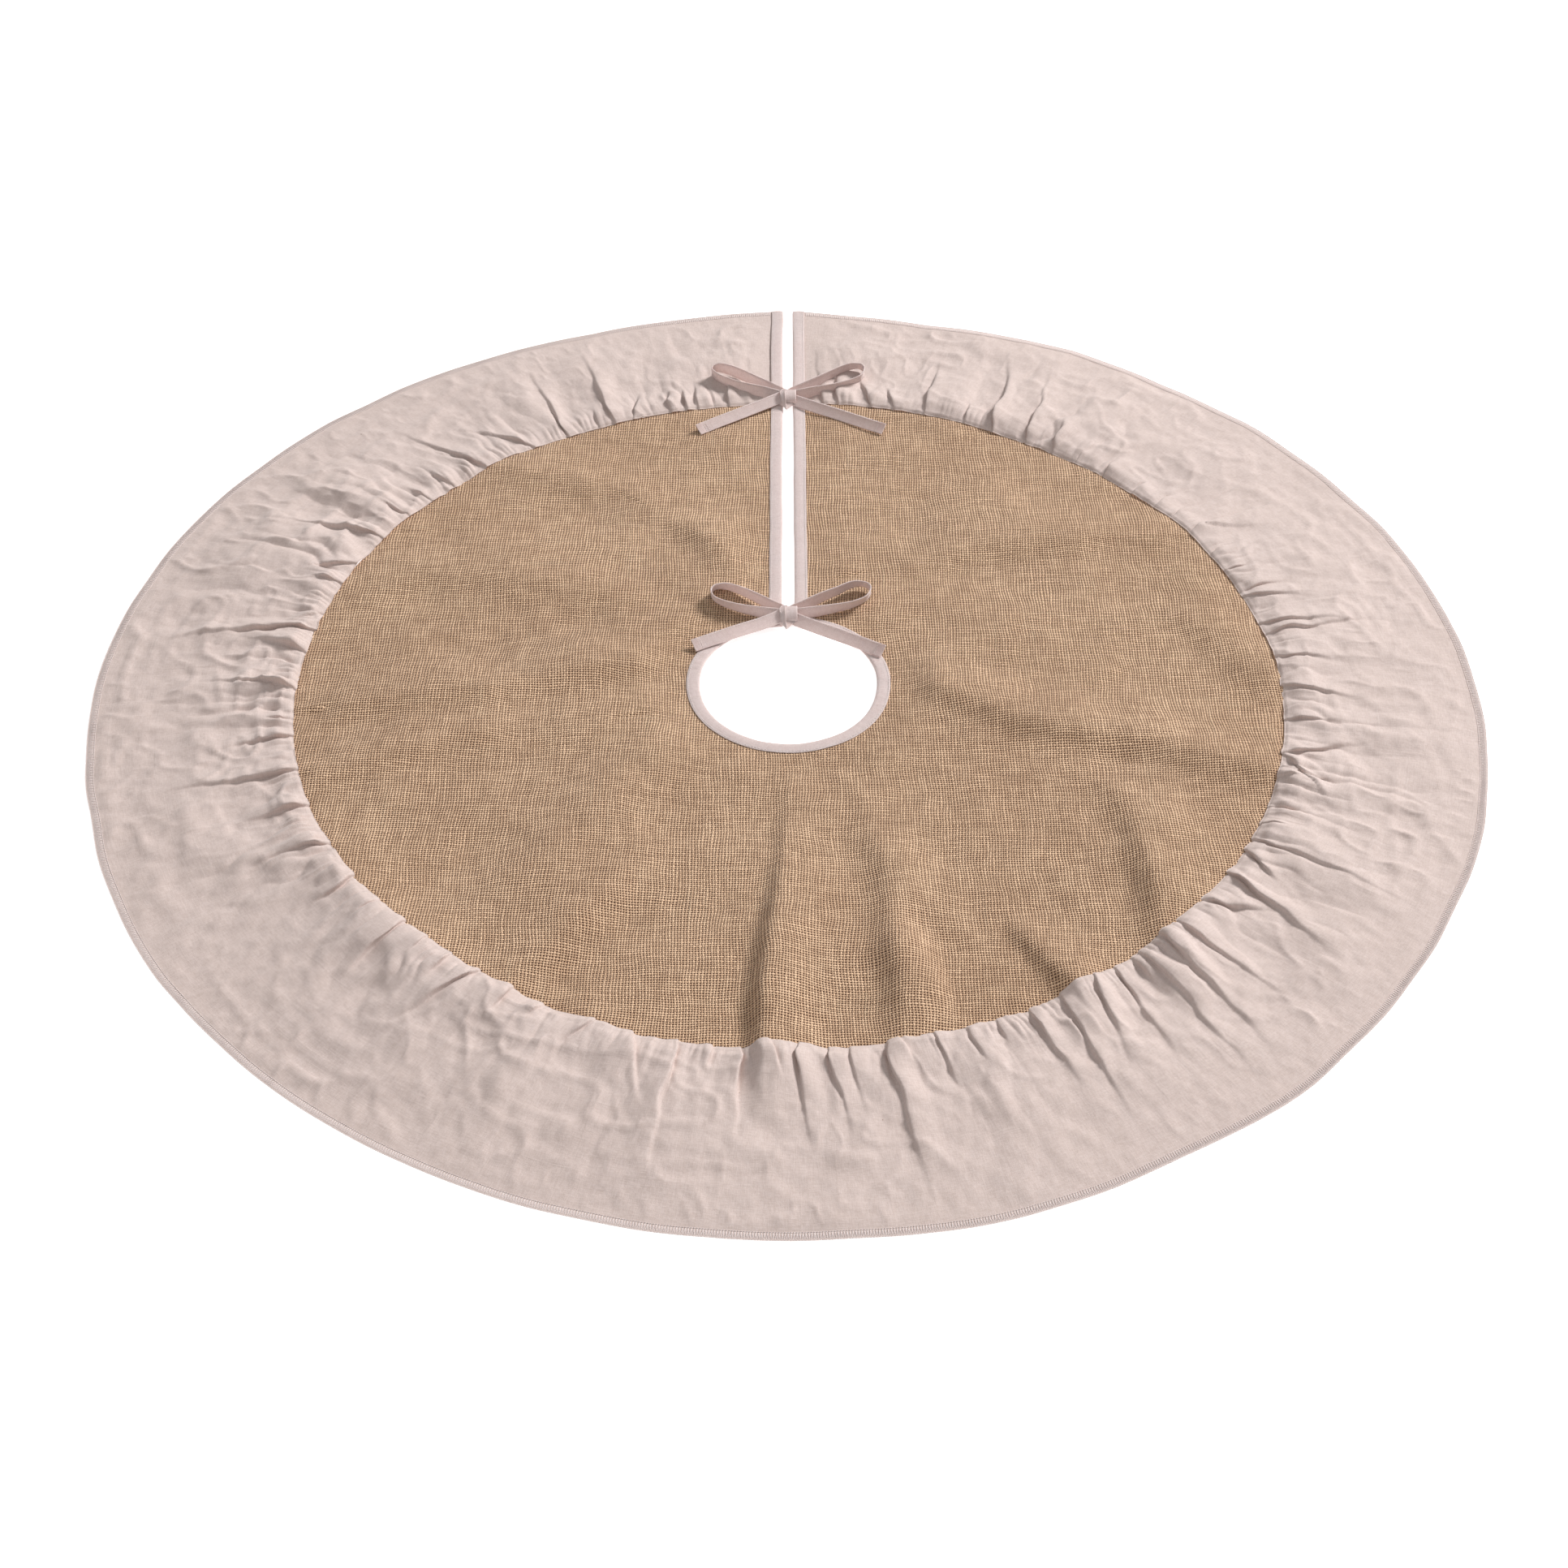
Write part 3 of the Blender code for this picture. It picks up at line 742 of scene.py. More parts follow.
def folds(bearing, radius):
    """(height, sideways lean) in metres of all the folds, at a grid of bearings and radii."""
    height = np.zeros(bearing.shape)
    lean = np.zeros(bearing.shape)
    out = radius - SEAM_RADIUS
    for start, end, reach, tall in CREASES:
        near = np.abs(wrap_degrees(bearing[:, 0] - (start + end) / 2)) < 8
        if not near.any():
            continue
        away = np.clip(out[near], 0, 1)
        share = out[near] / (reach - SEAM_RADIUS)
        line = start + (end - start) * np.clip(share, 0, 1.2)
        line = line + 0.35 * soft_noise(away + start, away * 0 + 1, 0.021, 24) * smooth(away / 0.02)
        side = math.copysign(1, tall)
        u = -np.radians(wrap_degrees(bearing[near] - line)) * radius[near] * side
        steep = 0.0026 + 0.022 * away
        gentle = 0.0120 + 0.130 * away
        rise = smooth(u / steep + 0.5) * (1 - smooth((u - steep * 0.5) / gentle))
        dent = -0.45 * np.exp(-((u + steep * 0.7) / 0.0021) ** 2) * (1 - smooth(away / 0.08))
        fade = (1 - smooth((share - 0.15) / 1.0)) * (0.25 + 0.75 * smooth(away / 0.014))
        fade = fade * (1 + 0.35 * soft_noise(away + start, away * 0 + 1, 0.03, 25))
        size = abs(tall) * MM * fade
        height[near] += (rise + dent) * size
        lean[near] += rise * size * side * (1.15 - 0.85 * smooth(away / 0.06))
    return height, lean


def strip_place(bearing):
    """How far along the flat strip a bearing is, from the slit round to the slit."""
    return np.radians((bearing - 90) % 360) * SEAM_RADIUS * FULLNESS


CREST_LIMIT = 0.020  # folds higher than this are pressed down to two fifths of what they exceed


def ruffle_points(bearing, radius, share):
    """The ruffle's middle surface. share is 0 at the seam and 1 at the outer edge."""
    out = radius - SEAM_RADIUS
    height, lean = folds(bearing, radius)
    strip = strip_place(bearing)
    calm = smooth(np.abs(wrap_degrees(bearing - 90)) * 0.01745 * radius / 0.05 - 0.25)
    edge = 1 - smooth((share - 0.90) / 0.08)
    arc = strip / FULLNESS
    puff = 0.0013 * smooth(out / 0.016) * np.exp(-out / 0.06)
    puff = puff * (1 + 0.6 * soft_noise(strip + 9, out + 9, 0.05, 12)) + gathers(arc, out)
    broad = 0.0036 * (soft_noise(strip + 9, out + 9, 0.12, 14) + 0.3)
    broad = broad + 0.0036 * soft_noise((strip + 9) * 1.0, (out + 9) * 0.35, 0.046, 15)
    broad = broad * smooth(out / 0.03) * (1 - smooth((share - 0.45) / 0.5))
    crush = 0.0006 * soft_noise(strip + 9, (out + 9) * 2.0, 0.040, 16) + crumple(arc, out)
    crush = crush + 0.0006 * soft_noise((strip + 9) * 1.3, out + 9, 0.017, 17)
    crush = crush + 0.0003 * soft_noise(strip + 9, out + 9, 0.0075, 18)
    relief = (height + puff + np.maximum(broad, -0.0002) + crush) * calm * edge
    # the folds on the left stand higher
    relief = relief * (1 + 0.55 * np.exp(-(wrap_degrees(bearing - 196) / 42) ** 2))
    rim = 0.0009 * np.maximum(soft_noise(strip + 9, out * 0 + 9, 0.07, 19), 0) * smooth(
        (share - 0.7) / 0.3) * calm
    turn = np.radians(bearing) + lean * calm * edge / radius
    scallop = 0.0016 * np.clip((height + puff) * 600 - 0.1, 0, 1) * (1 - smooth(out / 0.006))
    x = (radius - scallop) * np.cos(turn)
    y = (radius - scallop) * np.sin(turn)
    seam_base = 0.0026 - 0.0012 * smooth(out / 0.05) - 0.0007 * smooth((share - 0.6) / 0.35)
    tuck_under = -0.0012 * (1 - smooth(out / 0.0016))
    z = seam_base + tuck_under + swell(x, y) + np.maximum(relief, -0.0009) + rim
    z = z - 0.6 * np.maximum(z - CREST_LIMIT, 0)
    return np.stack([x, y, np.maximum(z, 0.00046)], -1)


QUARTERS = {"front_right": (270, 360, "front"), "front_left": (180, 270, "front"),
            "left_flap": (90, 180, "left_flap"), "right_flap": (0, 90, "right_flap")}
for part, (low, high, body) in QUARTERS.items():
    bearing, radius = polar_grid(low, high, 750, SEAM_RADIUS - 0.001, outline_radius, 63,
                                 SLIT_EDGE + 0.001, spread=1.35)
    share = (radius - SEAM_RADIUS) / (outline_radius(bearing) - SEAM_RADIUS)
    points = ruffle_points(bearing, radius, share)
    normals = grid_normals(points)[1:-1]
    flat = np.stack([strip_place(bearing), radius - SEAM_RADIUS], -1)
    piece = shell("ruffle_cloth_" + part, points[1:-1], normals, RUFFLE_THICKNESS, RUFFLE_COTTON,
                  flat[1:-1])
    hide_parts("ruffle_" + body)
    rides(piece, body)
    print(piece.name, triangles(piece), "triangles, highest",
          round(float(points[..., 2].max()) * 1000, 1), "mm")

# %% [markdown]
# ## Seam allowance
# Under the seam, the two cut edges are overlocked together and turned in under the burlap. It
# only shows when a flap is folded over, but a real skirt has it, so this one does.

# %% Seam allowance
ALLOWANCE_RADIUS = 0.422
for part, (low, high) in PARTS.items():
    columns = 700 if part == "front" else 350
    bearing, radius = polar_grid(low, high, columns, ALLOWANCE_RADIUS, SEAM_RADIUS - 0.0004,
                                 5, 0.018)
    x, y = radius * np.cos(np.radians(bearing)), radius * np.sin(np.radians(bearing))
    pucker = 0.00012 * soft_noise(x + 9, y + 9, 0.006, 41)
    points = np.stack([x, y, 0.00045 + swell(x, y) + pucker], -1)
    flat = np.stack([strip_place(bearing), radius - SEAM_RADIUS], -1)[1:-1]
    piece = shell("allowance_" + part, points[1:-1], grid_normals(points)[1:-1], 0.0006,
                  RUFFLE_COTTON, flat)
    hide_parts("seam_allowance_" + part)
    rides(piece, part)
    print(piece.name, triangles(piece), "triangles")

# %% [markdown]
# ## Bindings
# A binding is a strip of tape folded over a cut edge, like a U lying on its side, and stitched
# through. Its outline is drawn once, in millimetres from the fold, and swept along the edge.


# %% Sweeping an outline
def lengths_along(line):
    """How far along a line of points each of its points is."""
    return np.concatenate([[0], np.cumsum(np.linalg.norm(np.diff(line, axis=0), axis=1))])


def sweep(name, places, sides, ups, outline, material, along, across):
    """A closed tube: the outline (steps or one, points, 2) is carried along the places."""
    steps, count = len(places), outline.shape[-2]
    shape = np.broadcast_to(outline, (steps, count, 2))
    rings = (places[:, None] + sides[:, None] * shape[..., :1] + ups[:, None] * shape[..., 1:])
    index = np.arange(steps * count).reshape(steps, count)
    after = np.roll(index, -1, axis=1)
    quads = np.stack([index[:-1], after[:-1], after[1:], index[1:]], -1).reshape(-1, 4)
    faces = quads.tolist() + [index[0, ::-1].tolist(), index[-1].tolist()]
    flat = np.stack([np.repeat(along, count), np.tile(across, steps)], -1)
    piece = new_object(name, rings.reshape(-1, 3), faces, material, flat)
    volume = bmesh.new()
    volume.from_mesh(piece.data)
    bmesh.ops.recalc_face_normals(volume, faces=volume.faces)
    volume.to_mesh(piece.data)
    volume.free()
    return piece


def shade_by_angle(piece, degrees=50):
    bpy.ops.object.select_all(action="DESELECT")
    piece.select_set(True)
    bpy.context.view_layer.objects.active = piece
    bpy.ops.object.shade_smooth_by_angle(angle=math.radians(degrees))
    piece.select_set(False)


# from the fold outwards: the upper leg, round the fold, and the lower leg
WIDE = BINDING_WIDTH / MM
BINDING_OUTLINE = np.array([
    (WIDE, 2.55), (WIDE, 2.95), (WIDE - 0.6, 3.15), (WIDE - 1.8, 3.0), (8.5, 3.3), (5.5, 3.4),
    (3.0, 3.35), (1.2, 3.15), (0.3, 2.6), (0.0, 1.6), (0.3, 0.6), (1.2, 0.08), (3.0, 0.0),
    (8.5, 0.0), (WIDE, 0.05), (WIDE, 0.6), (2.6, 0.75), (1.3, 1.1), (1.0, 1.6), (1.3, 2.1),
    (2.6, 2.45)]) * MM
BINDING_ACROSS = lengths_along(BINDING_OUTLINE)


def binding_outlines(along, seed):
    """The outline at each step, puckered a little by the stitches that hold it."""
    wave = soft_noise(along + 3, along * 0 + 1, 0.011, seed) * 0.00022
    wave = wave + soft_noise(along + 3, along * 0 + 1, 0.0032, seed + 1) * 0.00012
    edge = soft_noise(along + 3, along * 0 + 1, 0.026, seed + 2) * 0.00035
    outline = np.repeat(BINDING_OUTLINE[None], len(along), axis=0)
    upper = BINDING_OUTLINE[:, 1] > 2.5 * MM
    outline[:, upper, 1] += wave[:, None]
    outline[..., 0] += edge[:, None]
    return outline


def neck_line(low, high, steps):
    bearing = np.linspace(low, high, steps)
    radius = hole_radius(bearing)
    out = np.stack([np.cos(np.radians(bearing)), np.sin(np.radians(bearing)), bearing * 0], -1)
    place = out * radius[:, None]
    place[:, 2] = swell(place[:, 0] * 1.1, place[:, 1] * 1.1)
    return place, out, np.radians((bearing - 90) % 360) * NECK_RADIUS


def slit_half_gap(y):
    """The slit is drawn together at the two bows and at the outer edge."""
    pulled = np.exp(-((y - 0.088) / 0.035) ** 2) + np.exp(-((y - 0.438) / 0.06) ** 2)
    pulled = pulled + smooth((y - 0.48) / 0.1) * 0.8
    waver = 0.0005 * soft_noise(y + 9, y * 0 + 1, 0.12, 51)
    return SLIT_EDGE - 0.0006 * np.clip(pulled, 0, 1) + waver


def slit_press(y):
    """The binding is pressed thinner towards the outer edge, where the ruffle lies flat."""
    return 1 - 0.38 * smooth((y - 0.545) / 0.05)


def slit_lift(y):
    """The upper leg is thicker where it also holds the ruffle."""
    thicker = 0.0013 * smooth((y - SEAM_RADIUS + 0.014) / 0.008)
    return thicker * (1 - 0.6 * smooth((y - 0.45) / 0.05))


def repeated(way, count):
    return np.repeat(np.array([way], float), count, 0)


UP = (0.0, 0.0, 1.0)
NECK_TAPES = {"front": (180, 360), "left_flap": (94, 180), "right_flap": (0, 86)}
for part, (low, high) in NECK_TAPES.items():
    place, out, along = neck_line(low, high, 260 if part == "front" else 130)
    piece = sweep("neck_tape_" + part, place, out, repeated(UP, len(place)),
                  binding_outlines(along, 52), TAPE_COTTON, along, BINDING_ACROSS)
    shade_by_angle(piece)
    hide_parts("neck_binding_" + part)
    rides(piece, part)

slit_end = float(outline_radius(np.array([90.0]))[0]) - 0.0012
for side, sign in (("left", -1), ("right", 1)):
    y = np.linspace(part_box("slit_binding_" + side)[0].y, slit_end, 340)
    x = sign * slit_half_gap(y)
    lift = slit_lift(y)
    place = np.stack([x, y, swell(x, y)], -1)
    outline = binding_outlines(y, 60 + sign)
    outline[..., 1] += np.where(BINDING_OUTLINE[:, 1] > 2.0 * MM, 1.0, 0.0) * lift[:, None]
    outline[..., 1] *= slit_press(y)[:, None]
    piece = sweep("slit_tape_" + side, place, repeated((sign, 0, 0), len(y)),
                  repeated(UP, len(y)), outline, TAPE_COTTON, y, BINDING_ACROSS)
    shade_by_angle(piece)
    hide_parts("slit_binding_" + side)
    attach(piece, side + "_flap")

# %% [markdown]
# ## One stitch
# Topstitching and overlock are hundreds of short lengths of thread. One stitch is modelled from
# a cylinder with five sides: two cuts across it give it a belly, and its ends are drawn in where
# the thread dives into the cloth. Every seam is then made of copies of it.


# %% Model a stitch
def model_stitch():
    """A stitch of length 1 and thickness 1 along X, in a mesh of its own."""
    bpy.ops.object.select_all(action="DESELECT")
    bpy.ops.mesh.primitive_cylinder_add(vertices=5, radius=0.5, depth=1, end_fill_type="NGON",
                                        rotation=(0, math.radians(90), 0))
    stitch = bpy.context.object
    stitch.name = "one_stitch"
    bpy.ops.object.transform_apply(rotation=True)
    bpy.ops.object.mode_set(mode="EDIT")
    for cut in (-0.25, 0.25):
        bpy.ops.mesh.select_all(action="SELECT")
        bpy.ops.mesh.bisect(plane_co=(cut, 0, 0), plane_no=(1, 0, 0))
    bpy.ops.object.mode_set(mode="OBJECT")
    for vertex in stitch.data.vertices:
        end = abs(vertex.co.x) > 0.4
        vertex.co.y *= 0.45 if end else 1.0
        vertex.co.z = vertex.co.z * (0.5 if end else 1.0) - (0.35 if end else 0.0)
    mesh = stitch.data
    points = np.array([v.co for v in mesh.vertices])
    faces = [list(p.vertices) for p in mesh.polygons]
    bpy.data.objects.remove(stitch)
    return points, faces


STITCH_POINTS, STITCH_FACES = model_stitch()
print("one stitch:", len(STITCH_FACES), "faces")


def lay_stitches(name, starts, ends, ups, thick):
    """One mesh of stitches, each from its start to its end, with its belly up."""
    starts, ends, ups = (np.asarray(a, float).reshape(-1, 3) for a in (starts, ends, ups))
    along = ends - starts
    length = np.linalg.norm(along, axis=1, keepdims=True)
    along = along / length
    side = np.cross(ups, along)
    side = side / np.linalg.norm(side, axis=1, keepdims=True)
    rise = np.cross(along, side)
    local = STITCH_POINTS
    points = ((starts + ends)[:, None] / 2 + along[:, None] * (local[:, 0:1] * length[:, None])
              + side[:, None] * (local[:, 1:2] * thick) + rise[:, None] * (local[:, 2:3] * thick))
    faces = []
    for step in range(len(starts)):
        faces.extend([[i + step * len(local) for i in face] for face in STITCH_FACES])
    piece = new_object(name, points.reshape(-1, 3), faces, THREAD)
    return piece


def along_line(line, pitch, fill=0.72):
    """Stitch starts and ends along a line of points, one every pitch."""
    steps = lengths_along(line)
    at = np.arange(pitch / 2, steps[-1] - pitch / 2, pitch)
    find = lambda s: np.stack([np.interp(s, steps, line[:, k]) for k in range(3)], -1)
    return find(at - pitch * fill / 2), find(at + pitch * fill / 2)


# %% Topstitch the bindings
TOPSTITCH_IN = 0.0016
TOPSTITCH_HEIGHT = 0.0031
TOPSTITCH_PITCH = 0.0030
THREAD_THICKNESS = 0.0006
NECK_SEAMS = {"front": (180, 360), "left_flap": (98, 180), "right_flap": (0, 82)}


def topstitch(name, line):
    starts, ends = along_line(line, TOPSTITCH_PITCH)
    return lay_stitches(name, starts, ends, repeated(UP, len(starts)), THREAD_THICKNESS)


for part, (low, high) in NECK_SEAMS.items():
    place, out, along = neck_line(low, high, 300)
    line = place + out * (BINDING_WIDTH - TOPSTITCH_IN) + repeated(UP, 1) * TOPSTITCH_HEIGHT
    piece = topstitch("neck_stitches_" + part, line)
    rides(piece, part)
for side, sign in (("left", -1), ("right", 1)):
    y = np.linspace(0.093, 0.605, 300)
    x = sign * (slit_half_gap(y) + BINDING_WIDTH - TOPSTITCH_IN)
    z = (TOPSTITCH_HEIGHT + slit_lift(y)) * slit_press(y)
    piece = topstitch("slit_stitches_" + side, np.stack([x, y, z], -1))
    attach(piece, side + "_flap")
print("topstitching laid")

# %% [markdown]
# ## Overlocked edge
# An overlock machine wraps the raw outer edge in thread: a straight row of needle stitches a few
# millimetres in, a zigzag across the band on both faces, and a smooth cord along the very edge.


# %% Overlock
OVERLOCK_WIDTH = 0.0065
OVERLOCK_PITCH = 0.0021


def edge_point(bearing, inset, above):
    """A point on the ruffle near its outer edge, a height above or below its middle."""
    rim_radius = outline_radius(bearing)
    radius = (rim_radius - inset)[:, None]
    share = (radius - SEAM_RADIUS) / (rim_radius[:, None] - SEAM_RADIUS)
    point = ruffle_points(bearing[:, None], radius, share)[:, 0]
    point[:, 2] = np.maximum(point[:, 2] + above, 0.0004)
    return point


OVERLOCK = {"front": (180, 360), "left_flap": (91.75, 180), "right_flap": (0, 88.25)}
for part, (low, high) in OVERLOCK.items():
    count = int(math.radians(high - low) * OUTER_RADIUS / OVERLOCK_PITCH)
    step = (high - low) / count
    at = low + step * (np.arange(count) + 0.5)
    top, under, half = RUFFLE_THICKNESS / 2 + 0.0002, -RUFFLE_THICKNESS / 2 - 0.0001, step / 2
    needle = edge_point(at, OVERLOCK_WIDTH, top)
    before = edge_point(at - half * 0.9, OVERLOCK_WIDTH, top)
    after = edge_point(at + half * 0.9, OVERLOCK_WIDTH, top)
    rim_before = edge_point(at - half, -0.0002, 0.0003)
    rim_after = edge_point(at + half * 0.4, -0.0002, 0.0003)
    under_in = edge_point(at, OVERLOCK_WIDTH - 0.0008, under)
    under_rim = edge_point(at + half, -0.0001, under + 0.0001)
    starts = np.concatenate([before, needle, needle, under_in, rim_before])
    ends = np.concatenate([after, rim_before, rim_after, under_rim,
                           edge_point(at + half, -0.0002, 0.0003)])
    ups = repeated(UP, len(starts))
    ups[count * 3:count * 4] *= -1
    ups[count * 4:] = np.stack([np.cos(np.radians(at)), np.sin(np.radians(at)), at * 0 + 0.3], -1)
    piece = lay_stitches("overlock_" + part, starts, ends, ups, 0.00062)
    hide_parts("edge_overlock_" + part)
    rides(piece, part)
    print(piece.name, triangles(piece), "triangles")

# %% [markdown]
# ## The bows
# The ties are cotton tape, folded lengthwise and stitched along the open edge. In a bow the tape
# stands on its edge: it leans back near the knot, twists upright towards the end of the loop,
# and comes back the same way. So each tape here is a path of points, and at each point the way
# that its width runs. The two tails lean on the cloth with their far edges up.


# %% Ribbons
TIE_WIDTH = 0.012
RIBBON_OUTLINE = np.array([
    (-6.0, -0.25), (-5.8, -0.5), (-5.1, -0.52), (-4.2, -0.36), (0, -0.34), (4.2, -0.36),
    (5.1, -0.52), (5.8, -0.5), (6.0, -0.25), (6.0, 0.25), (5.8, 0.5), (5.1, 0.52), (4.2, 0.36),
    (0, 0.34), (-4.2, 0.36), (-5.1, 0.52), (-5.8, 0.5), (-6.0, 0.25)]) * MM
RIBBON_ACROSS = lengths_along(RIBBON_OUTLINE)


def flowing(points, steps):
    """A smooth curve through points, with equal time between them."""
    p = np.asarray(points, float)
    p = np.concatenate([[2 * p[0] - p[1]], p, [2 * p[-1] - p[-2]]])
    at = np.linspace(0, len(p) - 3 - 1e-9, steps)
    i = at.astype(int)
    t = (at - i)[:, None]
    a, b, c, d = p[i], p[i + 1], p[i + 2], p[i + 3]
    return 0.5 * (2 * b + (c - a) * t + (2 * a - 5 * b + 4 * c - d) * t ** 2
                  + (3 * b - a - 3 * c + d) * t ** 3)


def ribbon(name, points, leans, steps=90, width=1.0, taper=None, hem=False):
    """A tape along points, in millimetres. leans are the ways its width runs. taper lists
    (share of the length, share of the width), and a hem thickens the last 7.5 mm."""
    path = flowing(points, steps) * MM
    lean = flowing(leans, steps)
    forward = np.gradient(path, axis=0)
    forward /= np.linalg.norm(forward, axis=1, keepdims=True)
    lean = lean - (lean * forward).sum(1, keepdims=True) * forward
    lean /= np.linalg.norm(lean, axis=1, keepdims=True)
    face = np.cross(forward, lean)
    along = lengths_along(path)
    outline = np.repeat(RIBBON_OUTLINE[None], steps, axis=0)
    scale = np.full(steps, width)
    if taper:
        scale = np.interp(np.linspace(0, 1, steps), *np.array(taper, float).T)
    outline[..., 0] *= scale[:, None]
    if hem:
        thick = 1 + 0.9 * smooth((along - along[-1] + 0.0075) / 0.0008)
        outline[..., 1] *= thick[:, None]
    pucker = 0.00012 * soft_noise(along + 1, along * 0 + 1, 0.006, len(name))
    outline[..., 1] += pucker[:, None]
    piece = sweep(name, path, lean, face, outline, TAPE_COTTON, along, RIBBON_ACROSS)
    shade_by_angle(piece, 60)
    return piece, (path, lean, face, along)


EDGE_SEAM_IN = 0.0012
EDGE_SEAM_START = 0.012
EDGE_SEAM_STOP = 0.004


def edge_stitches(name, frames, faces):
    """A row of stitches beside the tape's upper edge, on each of the faces named by its sign."""
    path, lean, face, along = frames
    keep = (along > EDGE_SEAM_START) & (along < along[-1] - EDGE_SEAM_STOP)
    edge = path[keep] + lean[keep] * (TIE_WIDTH / 2 - EDGE_SEAM_IN)
    starts, ends, ups = [], [], []
    for sign in faces:
        line = edge + face[keep] * 0.00052 * sign
        a, b = along_line(line, 0.0027)
        at = np.linspace(0, len(line) - 1, len(a)).astype(int)
        starts.append(a)
        ends.append(b)
        ups.append(face[keep][at] * sign)
    return lay_stitches(name, np.concatenate(starts), np.concatenate(ends), np.concatenate(ups),
                        0.0005)


def hem_stitches(name, frames, rows):
    """Rows of stitches across a tail, each at its distance from the tail's end."""
    path, lean, face, along = frames
    across = np.linspace(-0.0052, 0.0052, 12)[:, None]
    starts, ends, ups = [], [], []
    for row in rows:
        at = int(np.argmin(np.abs(along - along[-1] + row)))
        for sign in (1, -1):
            line = path[at] + across * lean[at] + face[at] * 0.0007 * sign
            a, b = along_line(line, 0.0022)
            starts.append(a)
            ends.append(b)
            ups.append(np.repeat(face[at][None] * sign, len(a), 0))
    return lay_stitches(name, np.concatenate(starts), np.concatenate(ends), np.concatenate(ups),
                        0.00055)


# the way that the tape's width runs at each point of a loop, from the knot out and back
BACK = (0, 0.76, 0.65)
FORWARD = (0, -0.50, 0.87)
LOOP_LEANS = [BACK, (0, 0.35, 0.94), (0, 0.05, 1.0), (0, -0.18, 0.98), (0, -0.34, 0.94), FORWARD,
              (0, -0.42, 0.91), FORWARD, (0, -0.36, 0.93), (0, -0.2, 0.98), (0, 0.05, 1.0),
              (0, 0.35, 0.94), BACK]
UPPER_LEANS = [BACK, BACK, (0, 0.4, 0.92), (0, 0.2, 0.98), (0, 0.0, 1.0), (0, -0.2, 0.98),
               (0, -0.3, 0.95), (0, -0.25, 0.97), (0, -0.1, 1.0), (0, 0.1, 1.0), (0, 0.35, 0.94),
               BACK, BACK]
TAIL_LEFT = [(-0.39, 0.76, 0.52)] * 6
TAIL_RIGHT = [(0.42, 0.73, 0.54)] * 6
# each loop and tail: its path in millimetres, starting in the knot, and its leans
BOWS = {
    "lower_left_loop": ([(-3, 89, 8), (-13, 96, 9), (-26, 106, 10), (-42, 116.5, 11),
                         (-56, 123.0, 11.5), (-66, 122.5, 11.5), (-70.5, 115, 11), (-67, 106, 10.5),
                         (-57, 99, 10), (-43, 93.5, 9.5), (-28, 89.5, 9), (-14, 86.5, 8.5),
                         (-3, 85.5, 7.5)], LOOP_LEANS),
    "lower_right_loop": ([(2, 89, 8), (13, 96, 9.5), (27, 105.5, 11), (43, 115, 12),
                          (58, 124.5, 12.5), (69, 125.5, 12.5), (75.0, 118.0, 12), (71, 107, 11),
                          (60, 99.5, 10), (45, 95.0, 9), (28, 91, 8.5), (13, 87.5, 8),
                          (2, 85.5, 7.5)], LOOP_LEANS),
    "upper_left_loop": ([(-3, 440, 8), (-15, 449, 9), (-32, 461, 10.5), (-50, 474, 12),
                         (-64, 482, 12.5), (-73, 484, 12), (-77.5, 479, 11), (-72, 470, 10.5),
                         (-61, 461, 10), (-47, 453, 9.5), (-30, 446.5, 9), (-15, 441, 8.5),
                         (-3, 437, 7.5)], UPPER_LEANS),
    "upper_right_loop": ([(2, 441, 8), (14, 449, 10), (30, 460.5, 11.5), (46, 473, 12.5),
                          (61, 483, 13.5), (72, 485, 13.5), (77.5, 478, 13), (74, 467, 12),
                          (63, 459, 10.5), (47, 452, 9.5), (30, 446.5, 9), (14, 441, 8.5),
                          (2, 437, 7.5)], LOOP_LEANS),
    "lower_left_tail": ([(-2, 86.5, 10.5), (-11, 80, 9.4), (-25, 72.5, 8.4), (-45, 63, 8.2),
                         (-65, 53, 7.8), (-85, 43, 7.0)], TAIL_LEFT),
    "lower_right_tail": ([(1, 84, 7.2), (9, 78, 7.8), (24, 68.5, 8.2), (43, 57.5, 8.4),
                          (63, 46.5, 8.2), (84.5, 34.5, 7.6)], TAIL_RIGHT),
    "upper_left_tail": ([(-2, 437, 10.5), (-12, 431, 9.2), (-30, 420, 8.0), (-50, 407, 7.4),
                         (-70, 394, 7.0), (-89, 381, 6.6)], TAIL_LEFT),
    "upper_right_tail": ([(1, 434.5, 7.2), (9, 430, 7.6), (28, 419, 7.6), (50, 407, 7.4),
                          (72, 394.5, 7.2), (95, 382, 6.8)], TAIL_RIGHT),
}


def bends_at_joint(piece):
    """Bakes the piece's place into its mesh; the piece rides no body."""
    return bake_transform(piece)


for name, (points, leans) in BOWS.items():
    loop = "loop" in name
    tape, frames = ribbon("tape_" + name, points, leans, 130 if loop else 90, hem=not loop)
    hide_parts(name)
    stitches = edge_stitches("stitches_" + name, frames, faces=(1, -1) if loop else (-1, 1))
    bends_at_joint(tape)
    bends_at_joint(stitches)
    on_tape = [stitches]
    if not loop:
        rows = (0.0072, 0.0105) if name == "upper_left_tail" else (0.0072,)
        on_tape.append(hem_stitches("hem_" + name, frames, rows))
        bends_at_joint(on_tape[1])
    print(tape.name, "length", round(frames[3][-1] * 1000), "mm")

# %% [markdown]
# ## The knots
# The knot is the same tape once more: a flat band over the crossing, a narrow fold beside it
# that ends in a point, and a soft lump inside that keeps them apart.


# %% Knots
ACROSS_KNOT = [(1, 0.0, 0.0)] * 8


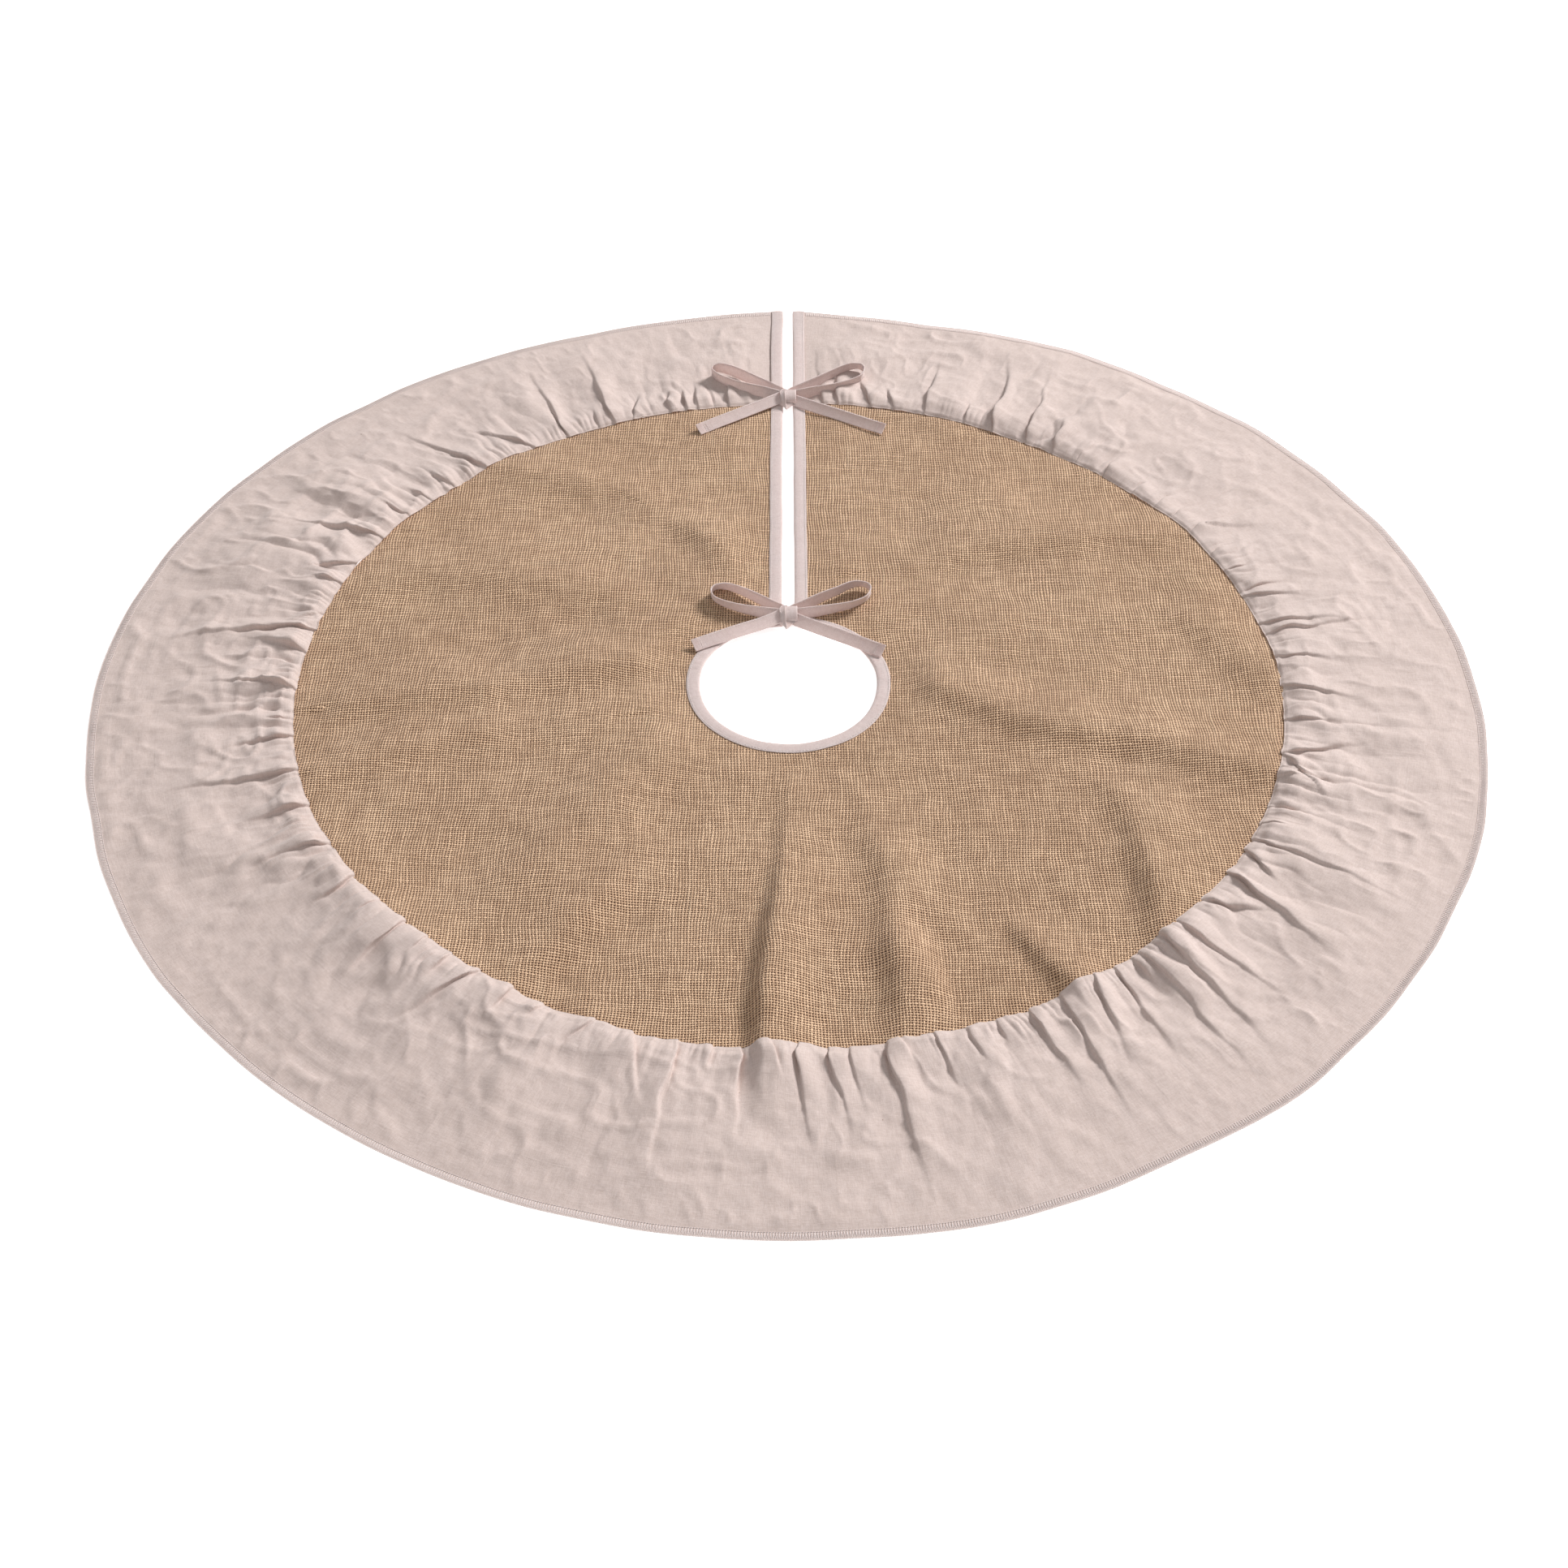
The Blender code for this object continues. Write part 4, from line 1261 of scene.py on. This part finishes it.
def knot_core(name, centre):
    """The crumpled tape inside a knot: a cube rounded by subdivision."""
    bpy.ops.object.select_all(action="DESELECT")
    bpy.ops.mesh.primitive_cube_add(size=1, location=centre)
    core = bpy.context.object
    core.name = name
    core.scale = (0.0150, 0.0140, 0.0085)
    bpy.ops.object.transform_apply(location=True, rotation=True, scale=True)
    rounded = core.modifiers.new("rounded", "SUBSURF")
    rounded.levels = rounded.render_levels = 3
    bpy.ops.object.modifier_apply(modifier="rounded")
    bpy.ops.object.shade_smooth()
    core.data.uv_layers[0].name = "flat"
    for loop in core.data.loops:
        place = core.data.vertices[loop.vertex_index].co
        core.data.uv_layers["flat"].data[loop.index].uv = (place.x + place.z, place.y)
    core.data.materials.append(TAPE_COTTON)
    return core


def knot(level, x, y):
    """One knot, centred at x, y in millimetres, as one object."""
    at = lambda points: [(x + a, y + b, c) for a, b, c in points]
    band, _ = ribbon("knot_band", at([(2.8, -7.0, 4.2), (2.8, -9.2, 6.4), (2.8, -8.0, 10.0),
                                      (2.8, -3.6, 12.7), (2.8, 2.6, 13.2), (2.8, 6.8, 11.4),
                                      (2.8, 8.6, 7.6), (2.8, 7.2, 4.2)]), ACROSS_KNOT, 60,
                     width=1.02)
    fold, _ = ribbon("knot_fold", at([(-3.9, 8.4, 8.5), (-4.1, 6.0, 12.6), (-4.2, 1.5, 14.2),
                                      (-4.2, -3.0, 13.8), (-3.6, -8.0, 11.2), (-2.8, -11.5, 8.2),
                                      (-1.9, -14.8, 5.9), (-1.0, -17.2, 4.8)]),
                     [(1, 0, 0.3)] * 8, 60, taper=[(0, 0.34), (0.6, 0.36), (0.85, 0.2), (1, 0.05)])
    cheek, _ = ribbon("knot_cheek", at([(-1.0, 4.5, 9.5), (-5.0, 2.5, 11.0), (-7.6, -1.5, 10.2),
                                        (-7.2, -6.5, 8.0), (-5.0, -10.5, 6.4),
                                        (-2.2, -13.6, 5.2)]),
                      [(0.3, 0.35, 0.88)] * 6, 50, taper=[(0, 0.7), (0.5, 0.75), (1, 0.12)])
    tuck, _ = ribbon("knot_tuck", at([(2.0, -4.5, 7.5), (1.8, -8.8, 7.0), (0.8, -12.6, 5.8),
                                      (-0.8, -16.8, 4.6)]), [(1, 0.15, 0)] * 4, 40,
                     taper=[(0, 0.9), (0.4, 0.75), (1, 0.06)])
    core = knot_core(level + "_knot_tape", (x * MM, y * MM, 0.0078))
    bpy.ops.object.select_all(action="DESELECT")
    for part in (band, fold, cheek, tuck, core):
        part.select_set(True)
    bpy.context.view_layer.objects.active = core
    bpy.ops.object.join()
    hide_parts(level + "_knot")
    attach(core, "left_flap")
    print(core.name, triangles(core), "triangles")


knot("lower", -0.8, 87.0)
knot("upper", -0.8, 437.0)

# %% [markdown]
# ## Sewn ends
# Each tie starts flat on its binding, caught down with a few stitches, and runs in under the
# knot. Almost all of it is hidden, but it is what holds the bow to the skirt.

# %% Sewn ends
for level, y in (("lower", 88), ("upper", 438)):
    for side, sign in (("left", -1), ("right", 1)):
        name = f"{level}_{side}_sewn_end"
        tape, frames = ribbon("tape_" + name, [(sign * 17.3, y, 4.3), (sign * 14, y, 4.3),
                                               (sign * 10, y, 4.5), (sign * 5.5, y - 0.5, 6.2)],
                              [(0, 1, 0)] * 4, 40)
        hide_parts(name)
        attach(tape, side + "_flap")
        ends = [(sign * 16.6 * MM, (y - 5 + k * 2.5) * MM, 0.0049) for k in range(5)]
        tack = lay_stitches("tack_" + name, ends[:-1], ends[1:], [UP] * 4, THREAD_THICKNESS)
        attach(tack, side + "_flap")
print("sewn ends done")

# %% [markdown]
# ## Sizes
# The box of the finished object is printed.

# %% Finish
low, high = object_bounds()
print("visual box", [round(v, 4) for v in low], [round(v, 4) for v in high])
